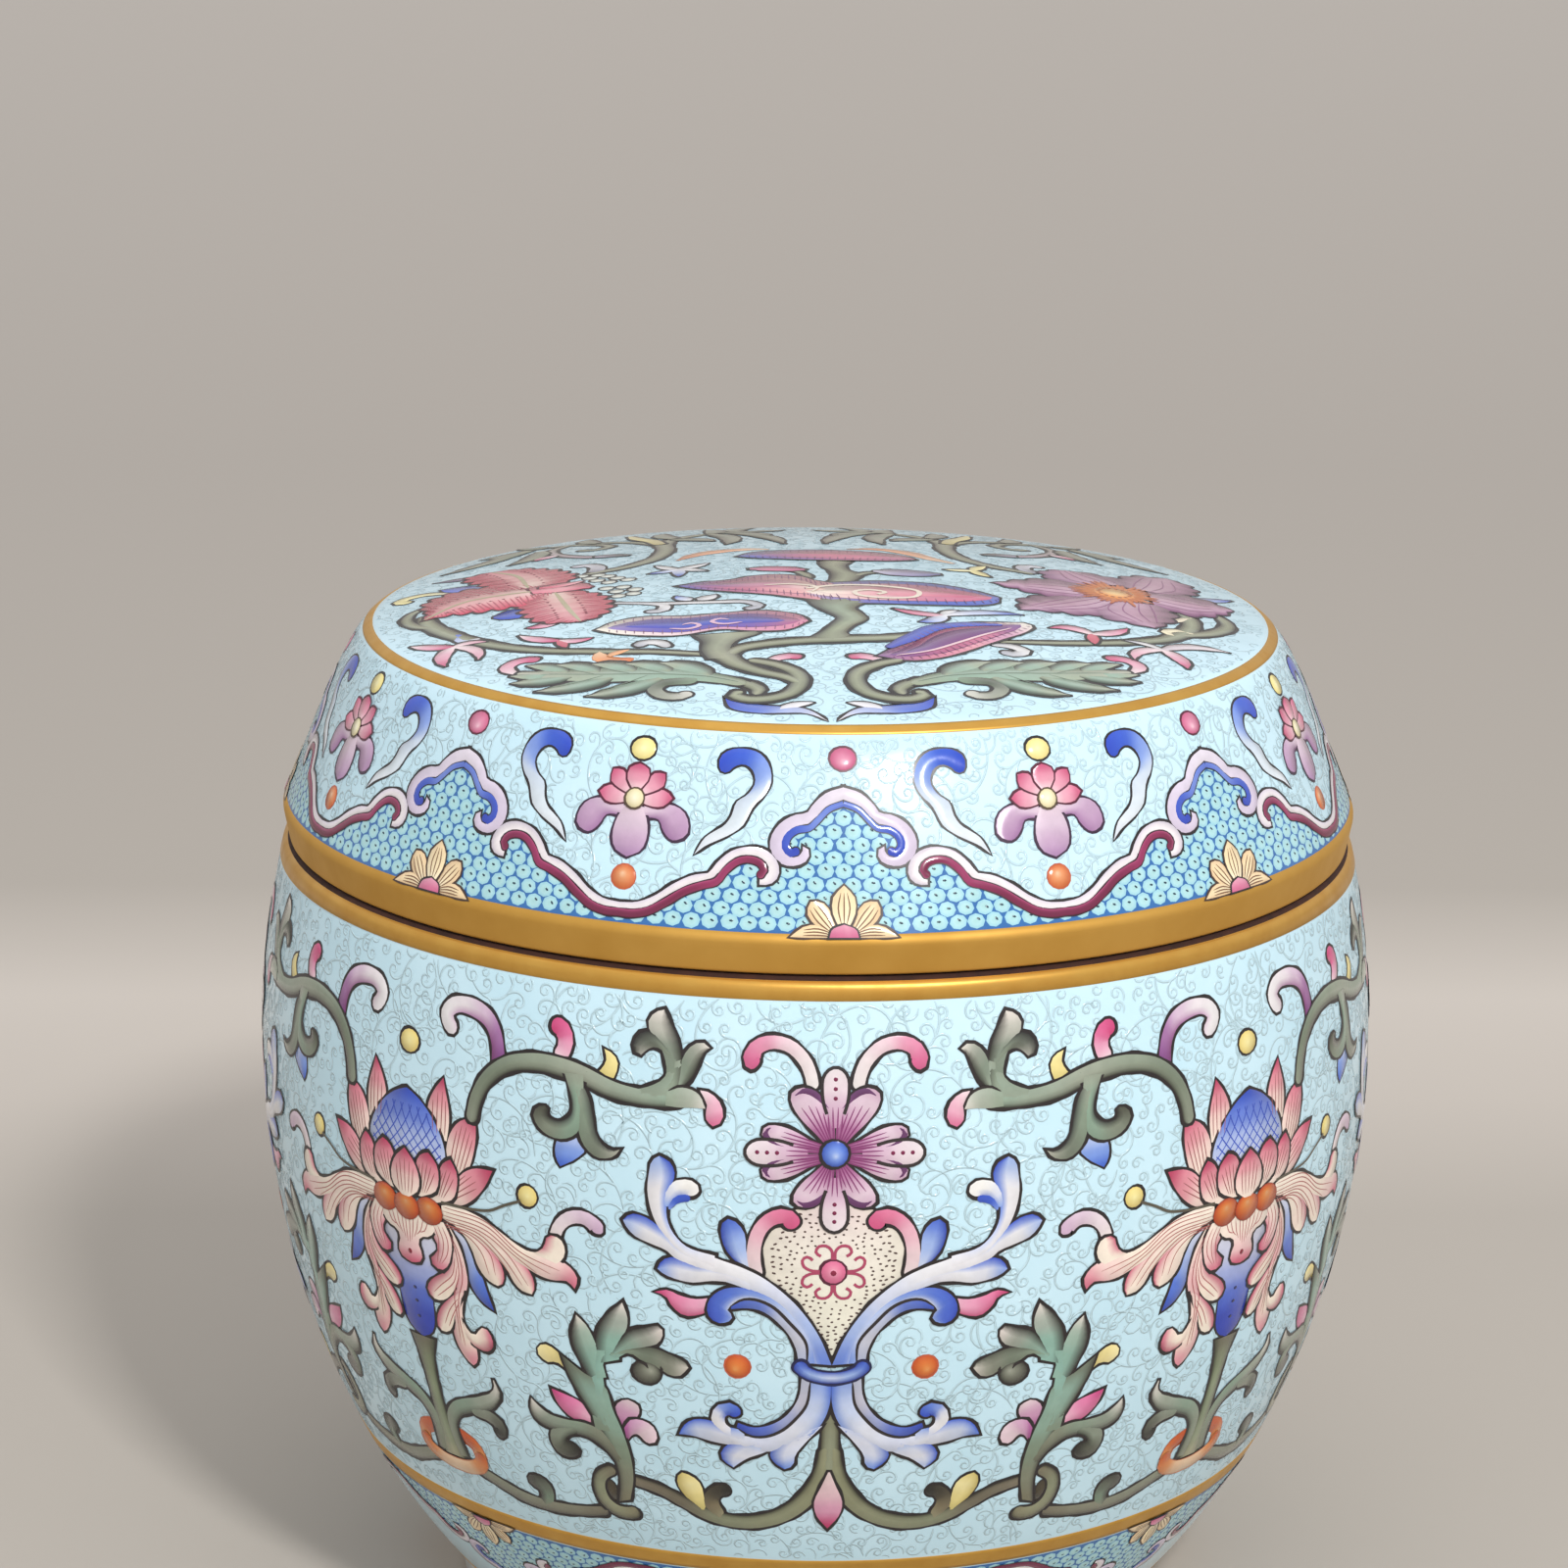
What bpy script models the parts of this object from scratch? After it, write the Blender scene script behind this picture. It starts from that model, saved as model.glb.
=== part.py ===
"""Round porcelain jar with a lift-off lid, at its real size in metres, +Z up.

The jar body is a hollow turned vessel with a foot ring below and a collar at its mouth. The lid is a
hollow turned cap: its lip comes down on the body's ledge, round the collar. The origin is the centre
of the foot's underside. Both pieces are profiles turned round Z.
"""

from math import asin, cos, hypot, pi, radians, sin, sqrt, tan

import bpy

# Turning
TURN_STEPS = 60
WELD_DISTANCE = 0.00001

# Jar body outside: an ellipse of revolution, cut off at the foot and at the ledge
BELLY_RADIUS = 0.0675
BELLY_HEIGHT = 0.0685
BELLY_HALF_HEIGHT = 0.086
LEDGE_HEIGHT = 0.0940
SHOULDER_ROUND = 0.0012
OUTER_STEPS = 15
ROUND_STEPS = 3

# Jar body inside
BODY_WALL = 0.004
FLOOR_THICKNESS = 0.005
FLOOR_ROUND = 0.006
LEDGE_THICKNESS = 0.004
LEDGE_SLOPE = radians(45)
INNER_STEPS = 9

# Foot ring
FOOT_STEP = 0.0012
FOOT_HEIGHT = 0.004
FOOT_WIDTH = 0.004
FOOT_RECESS = 0.003
FOOT_CHAMFER = 0.0005

# Lid outside: a domed crown, a rounded shoulder and sloping side, and an upright brim
LIP_INSET = 0.00055
BRIM_FLARE = 0.0006
BRIM_HEIGHT = 0.0038
LID_HEIGHT = 0.0310
CROWN_INSET = 0.0122
CROWN_CURVE_RADIUS = 0.277
SIDE_ANGLE = radians(68)
SIDE_PULL = 0.019
SHOULDER_PULL = 0.0038
CROWN_STEPS = 4
SIDE_STEPS = 11

# Lid inside
LID_WALL = 0.0035
LIP_WALL = 0.005
LIP_CHAMFER = 0.0002

# Fit of the lid on the body
SEAM_GAP = 0.0003
COLLAR_CLEARANCE = 0.0005
COLLAR_HEIGHT = 0.0066
COLLAR_WALL = 0.003
COLLAR_CHAMFER = 0.0006


def ellipse_radius(height):
    """The body's outer radius at this height."""
    return BELLY_RADIUS * sqrt(1 - ((height - BELLY_HEIGHT) / BELLY_HALF_HEIGHT) ** 2)


# Values that follow from the sizes above
FOOT_RADIUS = ellipse_radius(FOOT_HEIGHT) - FOOT_STEP
LIP_RADIUS = ellipse_radius(LEDGE_HEIGHT) - LIP_INSET
BRIM_RADIUS = LIP_RADIUS + BRIM_FLARE
CROWN_EDGE_RADIUS = BRIM_RADIUS - CROWN_INSET
LIP_INNER_RADIUS = LIP_RADIUS - LIP_WALL
COLLAR_RADIUS = LIP_INNER_RADIUS - COLLAR_CLEARANCE
COLLAR_INNER_RADIUS = COLLAR_RADIUS - COLLAR_WALL
LID_BASE = LEDGE_HEIGHT + SEAM_GAP


def inward(point, direction, distance):
    """The point moved to the left of a profile's direction of travel, which is into the wall."""
    length = hypot(*direction)
    return (
        point[0] + distance * direction[1] / length,
        point[1] - distance * direction[0] / length,
    )


def belly_point(angle, depth=0.0):
    """A point at depth under the body's ellipse; angle 0 is the widest place and rises upwards."""
    point = (
        BELLY_RADIUS * cos(angle),
        BELLY_HEIGHT + BELLY_HALF_HEIGHT * sin(angle),
    )
    downwards = (BELLY_RADIUS * sin(angle), -BELLY_HALF_HEIGHT * cos(angle))
    return inward(point, downwards, depth)


def belly_angle(height, depth=0.0):
    """The angle at which the ellipse, taken at that depth, passes this height."""
    low, high = -pi / 2, pi / 2
    for _ in range(48):
        middle = (low + high) / 2
        if belly_point(middle, depth)[1] < height:
            low = middle
        else:
            high = middle
    return (low + high) / 2


def steps(first, last, count):
    """count + 1 even values from first to last."""
    return [first + (last - first) * n / count for n in range(count + 1)]


def shoulder_round():
    """The rounded outer edge of the ledge, from its flat top down to the ellipse."""
    touch = belly_angle(LEDGE_HEIGHT - SHOULDER_ROUND, SHOULDER_ROUND)
    centre = belly_point(touch, SHOULDER_ROUND)
    start = belly_point(touch)
    last = asin((start[1] - centre[1]) / SHOULDER_ROUND)
    return touch, [
        (centre[0] + SHOULDER_ROUND * cos(a), centre[1] + SHOULDER_ROUND * sin(a))
        for a in steps(pi / 2, last, ROUND_STEPS)
    ]


def body_inside():
    """The hollow, from the middle of the floor up to the collar's inner edge."""
    floor = FOOT_RECESS + FLOOR_THICKNESS
    corner = belly_angle(floor + FLOOR_ROUND, BODY_WALL)
    wall_foot = belly_point(corner, BODY_WALL)
    ceiling = LEDGE_HEIGHT - LEDGE_THICKNESS
    top = belly_angle(ceiling, BODY_WALL)
    for _ in range(8):
        reach = belly_point(top, BODY_WALL)[0] - COLLAR_INNER_RADIUS
        top = belly_angle(ceiling - reach * tan(LEDGE_SLOPE), BODY_WALL)
    flat_edge = wall_foot[0] - FLOOR_ROUND
    fillet = [
        (flat_edge + FLOOR_ROUND * sin(a), floor + FLOOR_ROUND * (1 - cos(a)))
        for a in steps(0, pi / 2, ROUND_STEPS)
    ]
    wall = [belly_point(a, BODY_WALL) for a in steps(corner, top, INNER_STEPS)]
    return [(0, floor)] + fillet + wall[1:] + [(COLLAR_INNER_RADIUS, ceiling)]


def collar():
    """The upright ring that the lid's lip drops round."""
    top = LEDGE_HEIGHT + COLLAR_HEIGHT
    return [
        (COLLAR_INNER_RADIUS, top - COLLAR_CHAMFER),
        (COLLAR_INNER_RADIUS + COLLAR_CHAMFER, top),
        (COLLAR_RADIUS - COLLAR_CHAMFER, top),
        (COLLAR_RADIUS, top - COLLAR_CHAMFER),
        (COLLAR_RADIUS, LEDGE_HEIGHT),
    ]


def foot():
    """The foot ring and the recess inside it, from the ellipse's lower end to the axis."""
    inner = FOOT_RADIUS - FOOT_WIDTH
    return [
        (FOOT_RADIUS, FOOT_HEIGHT - FOOT_CHAMFER),
        (FOOT_RADIUS, FOOT_CHAMFER),
        (FOOT_RADIUS - FOOT_CHAMFER, 0),
        (inner + FOOT_CHAMFER, 0),
        (inner, FOOT_CHAMFER),
        (inner - FOOT_CHAMFER, FOOT_RECESS),
        (0, FOOT_RECESS),
    ]


def body_profile():
    """The jar body's whole section, with its outer side running from the ledge down to the foot."""
    touch, round_edge = shoulder_round()
    end = belly_angle(FOOT_HEIGHT)
    outer = [belly_point(a) for a in steps(touch, end, OUTER_STEPS)]
    return body_inside() + collar() + round_edge + outer[1:] + foot()


def crown_height(radius):
    """How far the crown's curve lies above the lip at this radius."""
    fall = CROWN_CURVE_RADIUS - sqrt(CROWN_CURVE_RADIUS**2 - radius**2)
    return LID_HEIGHT - fall


def side_points():
    """(point, direction) down the lid's side, a Bezier curve from the crown's edge to the brim."""
    slope = asin(CROWN_EDGE_RADIUS / CROWN_CURVE_RADIUS)
    first = (CROWN_EDGE_RADIUS, crown_height(CROWN_EDGE_RADIUS))
    last = (BRIM_RADIUS, BRIM_HEIGHT)
    knots = [
        first,
        (first[0] + SHOULDER_PULL * cos(slope), first[1] - SHOULDER_PULL * sin(slope)),
        (last[0] - SIDE_PULL * cos(SIDE_ANGLE), last[1] + SIDE_PULL * sin(SIDE_ANGLE)),
        last,
    ]
    found = []
    for t in steps(0, 1, SIDE_STEPS):
        u = 1 - t
        point = [
            u**3 * a + 3 * u * u * t * b + 3 * u * t * t * c + t**3 * d
            for a, b, c, d in zip(*knots)
        ]
        direction = [
            u * u * (b - a) + 2 * u * t * (c - b) + t * t * (d - c)
            for a, b, c, d in zip(*knots)
        ]
        found.append((tuple(point), tuple(direction)))
    return found


def lid_profile():
    """The lid's whole section above its lip, with its outer side running from the crown down."""
    side = side_points()
    crown = [(r, crown_height(r)) for r in steps(0, CROWN_EDGE_RADIUS, CROWN_STEPS)]
    outside = crown + [point for point, _ in side[1:]]
    lip = [
        (LIP_RADIUS, LIP_CHAMFER),
        (LIP_RADIUS - LIP_CHAMFER, 0),
        (LIP_INNER_RADIUS + LIP_CHAMFER, 0),
        (LIP_INNER_RADIUS, LIP_CHAMFER),
    ]
    inner_side = [inward(point, direction, LID_WALL) for point, direction in side]
    inner_side = [point for point in inner_side if point[0] < LIP_INNER_RADIUS]
    below = inner_side[-1]
    inner_crown = [(r, crown_height(r) - LID_WALL) for r in steps(0, inner_side[0][0], CROWN_STEPS)]
    inner_side.append((LIP_INNER_RADIUS, below[1] - (LIP_INNER_RADIUS - below[0]) * tan(SIDE_ANGLE)))
    inside = list(reversed(inner_side)) + list(reversed(inner_crown[:-1]))
    return outside + lip + inside


def new_material(name, colour, roughness):
    """A plain glossy material in the piece's main colour."""
    material = bpy.data.materials.new(name)
    material.use_nodes = True
    shader = material.node_tree.nodes["Principled BSDF"]
    shader.inputs["Base Color"].default_value = (*colour, 1)
    shader.inputs["Roughness"].default_value = roughness
    shader.inputs["Metallic"].default_value = 0.0
    return material


def turned_piece(name, profile, height, material, collection):
    """A closed solid of revolution from a profile in the XZ plane, placed at this height."""
    mesh = bpy.data.meshes.new(name)
    edges = [(n, n + 1) for n in range(len(profile) - 1)]
    mesh.from_pydata([(r, 0, z) for r, z in profile], edges, [])
    piece = bpy.data.objects.new(name, mesh)
    piece.location = (0, 0, height)
    collection.objects.link(piece)
    screw = piece.modifiers.new("Turning", "SCREW")
    screw.axis = "Z"
    screw.steps = TURN_STEPS
    screw.render_steps = TURN_STEPS
    screw.use_merge_vertices = True
    screw.merge_threshold = WELD_DISTANCE
    screw.use_smooth_shade = True
    screw.use_normal_calculate = True
    mesh.materials.append(material)
    return piece


def main():
    for old in list(bpy.data.objects):
        bpy.data.objects.remove(old)
    jar = bpy.data.collections.new("lidded_jar")
    bpy.context.scene.collection.children.link(jar)
    pale_blue = (0.47, 0.70, 0.77)
    glaze = new_material("Pale blue glaze", pale_blue, 0.16)
    lid_glaze = new_material("Pale blue lid glaze", pale_blue, 0.14)
    turned_piece("jar_body", body_profile(), 0, glaze, jar)
    turned_piece("lid", lid_profile(), LID_BASE, lid_glaze, jar)


main()
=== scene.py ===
"""Looks of the round porcelain jar with its lift-off lid.

The jar's ornament is laid out on three charts in millimetres: the body unrolled from its ledge down,
the lid's side unrolled from its lip up, and the crown seen from above. Shapes are drawn on a chart as
thin films of enamel with inked edges, then wrapped on the turned surface and repeated round it.
"""

import bpy
import numpy as np
from mathutils import Matrix, Vector


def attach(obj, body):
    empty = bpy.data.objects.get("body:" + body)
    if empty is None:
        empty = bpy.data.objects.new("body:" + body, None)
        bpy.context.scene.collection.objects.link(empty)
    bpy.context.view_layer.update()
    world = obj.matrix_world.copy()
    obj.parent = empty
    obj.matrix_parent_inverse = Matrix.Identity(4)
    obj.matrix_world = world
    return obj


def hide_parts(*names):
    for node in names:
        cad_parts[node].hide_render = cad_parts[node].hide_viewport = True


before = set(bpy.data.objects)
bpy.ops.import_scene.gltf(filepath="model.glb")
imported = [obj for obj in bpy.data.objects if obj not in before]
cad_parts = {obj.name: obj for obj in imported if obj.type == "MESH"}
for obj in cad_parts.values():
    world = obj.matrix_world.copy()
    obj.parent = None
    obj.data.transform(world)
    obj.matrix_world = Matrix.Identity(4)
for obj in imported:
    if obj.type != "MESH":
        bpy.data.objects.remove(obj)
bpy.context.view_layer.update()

MM = 0.001

# Steps round a turned piece, and how far its glaze lies outside the profile; below 0 it lies inside
TURNS = 192
SKIN = -0.34

# Jar body in millimetres, as in the frame: an ellipse of revolution cut off at the foot and the ledge
BELLY_R = 67.5
BELLY_Z = 68.5
HALF_H = 86.0
LEDGE_Z = 94.0
EDGE_ROUND = 1.2
WALL = 4.0
FLOOR = 8.0
FLOOR_ROUND = 6.0
CEILING = 90.0
THROAT_Z = 82.9

# Foot ring
FOOT_TOP = 4.0
FOOT_STEP = 1.2
FOOT_WIDTH = 4.0
FOOT_BEVEL = 0.5
RECESS = 3.0

# Lid, with its heights above the lip
LIP_INSET = 0.55
LIP_BEVEL = 0.2
LIP_WALL = 5.0
BRIM_FLARE = 0.6
BRIM_Z = 3.8
CROWN_Z = 31.0
CROWN_INSET = 12.2
DOME_R = 277.0
SIDE_ANGLE = np.radians(68)
SIDE_PULL = 19.0
TOP_PULL = 3.8
LID_WALL = 3.5

# Fit of the lid on the body
SEAM = 0.3
CLEARANCE = 0.5
COLLAR_H = 6.6
COLLAR_WALL = 3.0
COLLAR_ROUND = 0.6


def ellipse_r(z):
    """The body's outer radius at this height."""
    return BELLY_R * np.sqrt(1 - ((z - BELLY_Z) / HALF_H) ** 2)


LIP_R = ellipse_r(LEDGE_Z) - LIP_INSET
BRIM_R = LIP_R + BRIM_FLARE
CROWN_R = BRIM_R - CROWN_INSET
COLLAR_R = LIP_R - LIP_WALL - CLEARANCE
LID_Z = LEDGE_Z + SEAM
FOOT_R = ellipse_r(FOOT_TOP) - FOOT_STEP


# Profiles of the turned surfaces

def belly(a, depth=0.0):
    """A point at depth under the body's ellipse, with angle a rising from the belly."""
    n = np.array([HALF_H * np.cos(a), BELLY_R * np.sin(a)])
    return np.array([BELLY_R * np.cos(a), BELLY_Z + HALF_H * np.sin(a)]) - depth * n / np.hypot(*n)


def belly_a(z, depth=0.0):
    """The angle at which the ellipse, taken at that depth, passes this height."""
    low, high = -np.pi / 2, np.pi / 2
    for _ in range(48):
        mid = (low + high) / 2
        low, high = (mid, high) if belly(mid, depth)[1] < z else (low, mid)
    return (low + high) / 2


def body_outside():
    """From the ledge's rounding down the ellipse to the foot's step."""
    touch = belly_a(LEDGE_Z - EDGE_ROUND, EDGE_ROUND)
    mid, start = belly(touch, EDGE_ROUND), belly(touch)
    last = np.arcsin((start[1] - mid[1]) / EDGE_ROUND)
    turn = [mid + EDGE_ROUND * np.array([np.cos(a), np.sin(a)]) for a in np.linspace(np.pi / 2, last, 7)]
    side = [belly(a) for a in np.linspace(touch, belly_a(FOOT_TOP), 72)]
    return np.array(turn + side[1:])


def crown_z(r):
    """The crown's height above the lip at this radius."""
    return CROWN_Z - DOME_R + np.sqrt(DOME_R**2 - r**2)


def lid_side():
    """From the lip up the brim and the side to the crown's edge, above the lip."""
    slope = np.arcsin(CROWN_R / DOME_R)
    k0 = np.array([CROWN_R, crown_z(CROWN_R)])
    k3 = np.array([BRIM_R, BRIM_Z])
    k1 = k0 + TOP_PULL * np.array([np.cos(slope), -np.sin(slope)])
    k2 = k3 + SIDE_PULL * np.array([-np.cos(SIDE_ANGLE), np.sin(SIDE_ANGLE)])
    t = np.linspace(1, 0, 56)[:, None]
    side = (1 - t) ** 3 * k0 + 3 * (1 - t) ** 2 * t * k1 + 3 * (1 - t) * t * t * k2 + t**3 * k3
    return np.vstack([[LIP_R, LIP_BEVEL], side])


def lefts(d):
    """These directions, one a row, turned a quarter to the left."""
    return np.stack([-d[:, 1], d[:, 0]], 1)


def push(path, h):
    """The path moved by h to the left of its travel, which is a profile's outer side."""
    n = lefts(np.gradient(path, axis=0))
    return path + h * n / np.linalg.norm(n, axis=1)[:, None]


# Charts

class Chart:
    """Millimetres on an unrolled turned surface: u round it and v along its outline."""

    def __init__(self, radius, path, lift=0.0, turn=0.0):
        self.radius, self.turn = radius, turn
        self.r, self.z = path[:, 0], path[:, 1] + lift
        self.arc = np.r_[0, np.cumsum(np.hypot(np.diff(self.r), np.diff(self.z)))]
        d = np.stack([np.gradient(self.r, self.arc), np.gradient(self.z, self.arc)], 1)
        self.d = d / np.linalg.norm(d, axis=1)[:, None]
        self.out = np.sign(self.z[-1] - self.z[0])

    def place(self, u, v, h):
        """The points at height h over the surface, with its normals and its directions of u and v."""
        a = u / self.radius + self.turn
        columns = (self.r, self.z, self.d[:, 0], self.d[:, 1])
        r, z, dr, dz = (np.interp(v, self.arc, column) for column in columns)
        length = np.hypot(dr, dz)
        dr, dz = dr / length, dz / length
        nr, nz = self.out * dz, -self.out * dr
        r, z = r + h * nr, z + h * nz
        sa, ca = np.sin(a), -np.cos(a)
        flat = np.zeros_like(sa)
        return (np.stack([r * sa, r * ca, z], -1), np.stack([nr * sa, nr * ca, nz], -1),
                np.stack([-ca, sa, flat], -1), np.stack([dr * sa, dr * ca, dz], -1))


class Crown:
    """Millimetres on the lid's crown seen from above, with -y towards the viewer."""

    def __init__(self, turn):
        self.turn = turn

    def place(self, x, y, h):
        """As a chart's place, with the picture's own x and y as u and v."""
        c, s = np.cos(self.turn), np.sin(self.turn)
        x, y = x * c - y * s, x * s + y * c
        z = LID_Z + crown_z(np.hypot(x, y))
        n = np.stack([x, y, np.sqrt(DOME_R**2 - x**2 - y**2)], -1) / DOME_R
        p = np.stack([x, y, z], -1) + n * h[..., None]
        one, nil = np.ones_like(x), np.zeros_like(x)
        return p, n, np.stack([one * c, one * s, nil], -1), np.stack([-one * s, one * c, nil], -1)


LID_TURN = np.radians(0.7)
SIDE_R = 64.5
BODY = Chart(BELLY_R, body_outside())
SIDE = Chart(SIDE_R, lid_side(), LID_Z, LID_TURN)
TOP = Crown(LID_TURN)

# The ornament comes four times round the body and eight round the lid, each cell mirrored about its axis
BODY_CELLS, SIDE_CELLS = 4, 8
CELL = 2 * np.pi * BELLY_R / BODY_CELLS
SIDE_CELL = 2 * np.pi * SIDE_R / SIDE_CELLS
SIDE_HALF = SIDE_CELL / 2


def repeats(cell, count, signs=(1,)):
    """The copies round a chart, each a mirror sign and a shift."""
    return [(sign, k * cell) for k in range(count) for sign in signs]


plain, mirrored = repeats(CELL, BODY_CELLS), repeats(CELL, BODY_CELLS, (1, -1))
side_plain, side_mirrored = repeats(SIDE_CELL, SIDE_CELLS), repeats(SIDE_CELL, SIDE_CELLS, (1, -1))
once = repeats(0, 1)


# Drawing

def linear(c):
    """Linear colour from an sRGB colour of 0 to 255."""
    c = np.asarray(c, float) / 255
    return np.where(c <= 0.04045, c / 12.92, ((c + 0.055) / 1.055) ** 2.4)


def curve(pts):
    """A smooth dense line through the points, with a corner where a point is given twice."""
    pts = np.asarray(pts, float)
    cuts = [0] + [i + 1 for i in range(len(pts) - 1) if np.allclose(pts[i], pts[i + 1])] + [len(pts)]
    out = []
    for first, last in zip(cuts, cuts[1:]):
        p = pts[first:last]
        if len(p) < 3:
            out.append(p[0] + (p[-1] - p[0]) * np.linspace(0, 1, 8)[:, None])
            continue
        p = np.vstack([2 * p[0] - p[1], p, 2 * p[-1] - p[-2]])
        for p0, p1, p2, p3 in zip(p, p[1:], p[2:], p[3:]):
            t1 = np.hypot(*(p1 - p0)) ** 0.5
            t2 = t1 + np.hypot(*(p2 - p1)) ** 0.5
            t3 = t2 + np.hypot(*(p3 - p2)) ** 0.5
            t = np.linspace(t1, t2, 10)[:, None]
            a1 = (p0 * (t1 - t) + p1 * t) / t1
            a2 = (p1 * (t2 - t) + p2 * (t - t1)) / (t2 - t1)
            a3 = (p2 * (t3 - t) + p3 * (t - t2)) / (t3 - t2)
            b1 = (a1 * (t2 - t) + a2 * t) / t2
            b2 = (a2 * (t3 - t) + a3 * (t - t1)) / (t3 - t1)
            out.append((b1 * (t2 - t) + b2 * (t - t1)) / (t2 - t1))
    line = np.vstack(out)
    keep = np.r_[True, np.hypot(*np.diff(line, axis=0).T) > 1e-6]
    return line[keep]


def arc_of(line):
    """The length of the line up to each of its points."""
    return np.r_[0, np.cumsum(np.hypot(*np.diff(line, axis=0).T))]


def rows_at(rows, a, s):
    """The rows, which are known at a, as they are at s."""
    return np.stack([np.interp(s, a, column) for column in rows.T], -1)


def along(line, s):
    """The points of the line at lengths s from its start."""
    return rows_at(line, arc_of(line), s)


def ramp(stops, t):
    """Evenly spaced stops, numbers or colours, eased at t from 0 to 1."""
    stops = np.asarray(stops, float)
    if len(stops) == 1:
        return np.broadcast_to(stops[0], (*np.shape(t), *stops.shape[1:]))
    x = np.clip(t, 0, 1) * (len(stops) - 1)
    i = np.minimum(x.astype(int), len(stops) - 2)
    f = x - i
    f = f * f * (3 - 2 * f)
    if stops.ndim == 2:
        f = f[..., None]
    return stops[i] * (1 - f) + stops[i + 1] * f


def stops_of(c):
    """One colour or several, as a list of several."""
    c = np.asarray(c, float)
    return c[None] if c.ndim == 1 else c


def grid_quads(i):
    """The quads of a grid of vertex numbers."""
    return np.stack([i[:-1, :-1], i[:-1, 1:], i[1:, 1:], i[1:, :-1]], -1).reshape(-1, 4)


class Film:
    """One layer of thin enamel on a chart."""

    def __init__(self):
        self.parts, self.quads, self.count = [], [], 0

    def grid(self, p, h, tilt, c):
        """Add a grid of points p with their heights, the lean of their normals, and their colours."""
        n, m = p.shape[:2]
        self.quads.append(grid_quads(np.arange(n * m).reshape(n, m) + self.count))
        h = np.broadcast_to(np.asarray(h, float)[..., None], (n, m, 1))
        c = np.broadcast_to(c, (n, m, 3))
        self.parts.append(np.concatenate([p, h, tilt, c], -1).reshape(-1, 8))
        self.count += n * m


def mesh_object(name, p, q, materials, zone=None):
    """A smooth mesh of these points and quads, with a material number for each quad in zone."""
    mesh = bpy.data.meshes.new(name)
    mesh.vertices.add(len(p))
    mesh.vertices.foreach_set("co", np.asarray(p, np.float32).ravel())
    mesh.loops.add(q.size)
    mesh.loops.foreach_set("vertex_index", q.ravel().astype(np.int32))
    mesh.polygons.add(len(q))
    mesh.polygons.foreach_set("loop_start", np.arange(0, q.size, q.shape[1], dtype=np.int32))
    for m in materials:
        mesh.materials.append(m)
    if zone is not None:
        mesh.polygons.foreach_set("material_index", np.asarray(zone, np.int32))
    mesh.update(calc_edges=True)
    mesh.polygons.foreach_set("use_smooth", np.full(len(q), True))
    mesh.validate()
    o = bpy.data.objects.new(name, mesh)
    bpy.context.scene.collection.objects.link(o)
    return o


# The share of grey that every drawn colour gets
GREYING = 0.1


def film_object(name, chart, layers, material):
    """One piece from (film, copies) pairs, each copy a mirror sign and a shift round the chart."""
    places, normals, tints, quads, count = [], [], [], [], 0
    for film, copies in layers:
        a, q = np.concatenate(film.parts), np.concatenate(film.quads)
        for sign, shift in copies:
            p, n, eu, ev = chart.place(sign * a[:, 0] + shift, a[:, 1], SKIN + a[:, 2])
            n = n + sign * a[:, 3:4] * eu + a[:, 4:5] * ev
            places.append(p)
            normals.append(n / np.linalg.norm(n, axis=1)[:, None])
            tints.append(a[:, 5:8])
            quads.append(q + count)
            count += len(a)
    p, n, q = np.concatenate(places) * MM, np.concatenate(normals), np.concatenate(quads)
    face = np.cross(p[q[:, 2]] - p[q[:, 0]], p[q[:, 3]] - p[q[:, 1]])
    back = np.einsum("ij,ij->i", face, n[q].mean(1)) < 0
    q[back] = q[back][:, ::-1]
    o = mesh_object(name, p, q, [material])
    tint = np.concatenate(tints)
    tint = tint + (tint.mean(1, keepdims=True) - tint) * GREYING
    tint = np.concatenate([linear(tint), np.ones((count, 1))], 1).astype(np.float32)
    o.data.color_attributes.new("tint", "FLOAT_COLOR", "POINT").data.foreach_set("color", tint.ravel())
    o.data.normals_split_custom_set_from_vertices(n)
    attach(o, "root")


# Heights over the glaze: of enamel, of its inked edge, of each level, and of a fill's dome
BASE_H, INK_H, LEVEL_H, DOME_H = 0.034, 0.026, 0.05, 0.018
INK = (38, 30, 32)
INK_UNDER = 0.16
MITRE = 1.7


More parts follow.
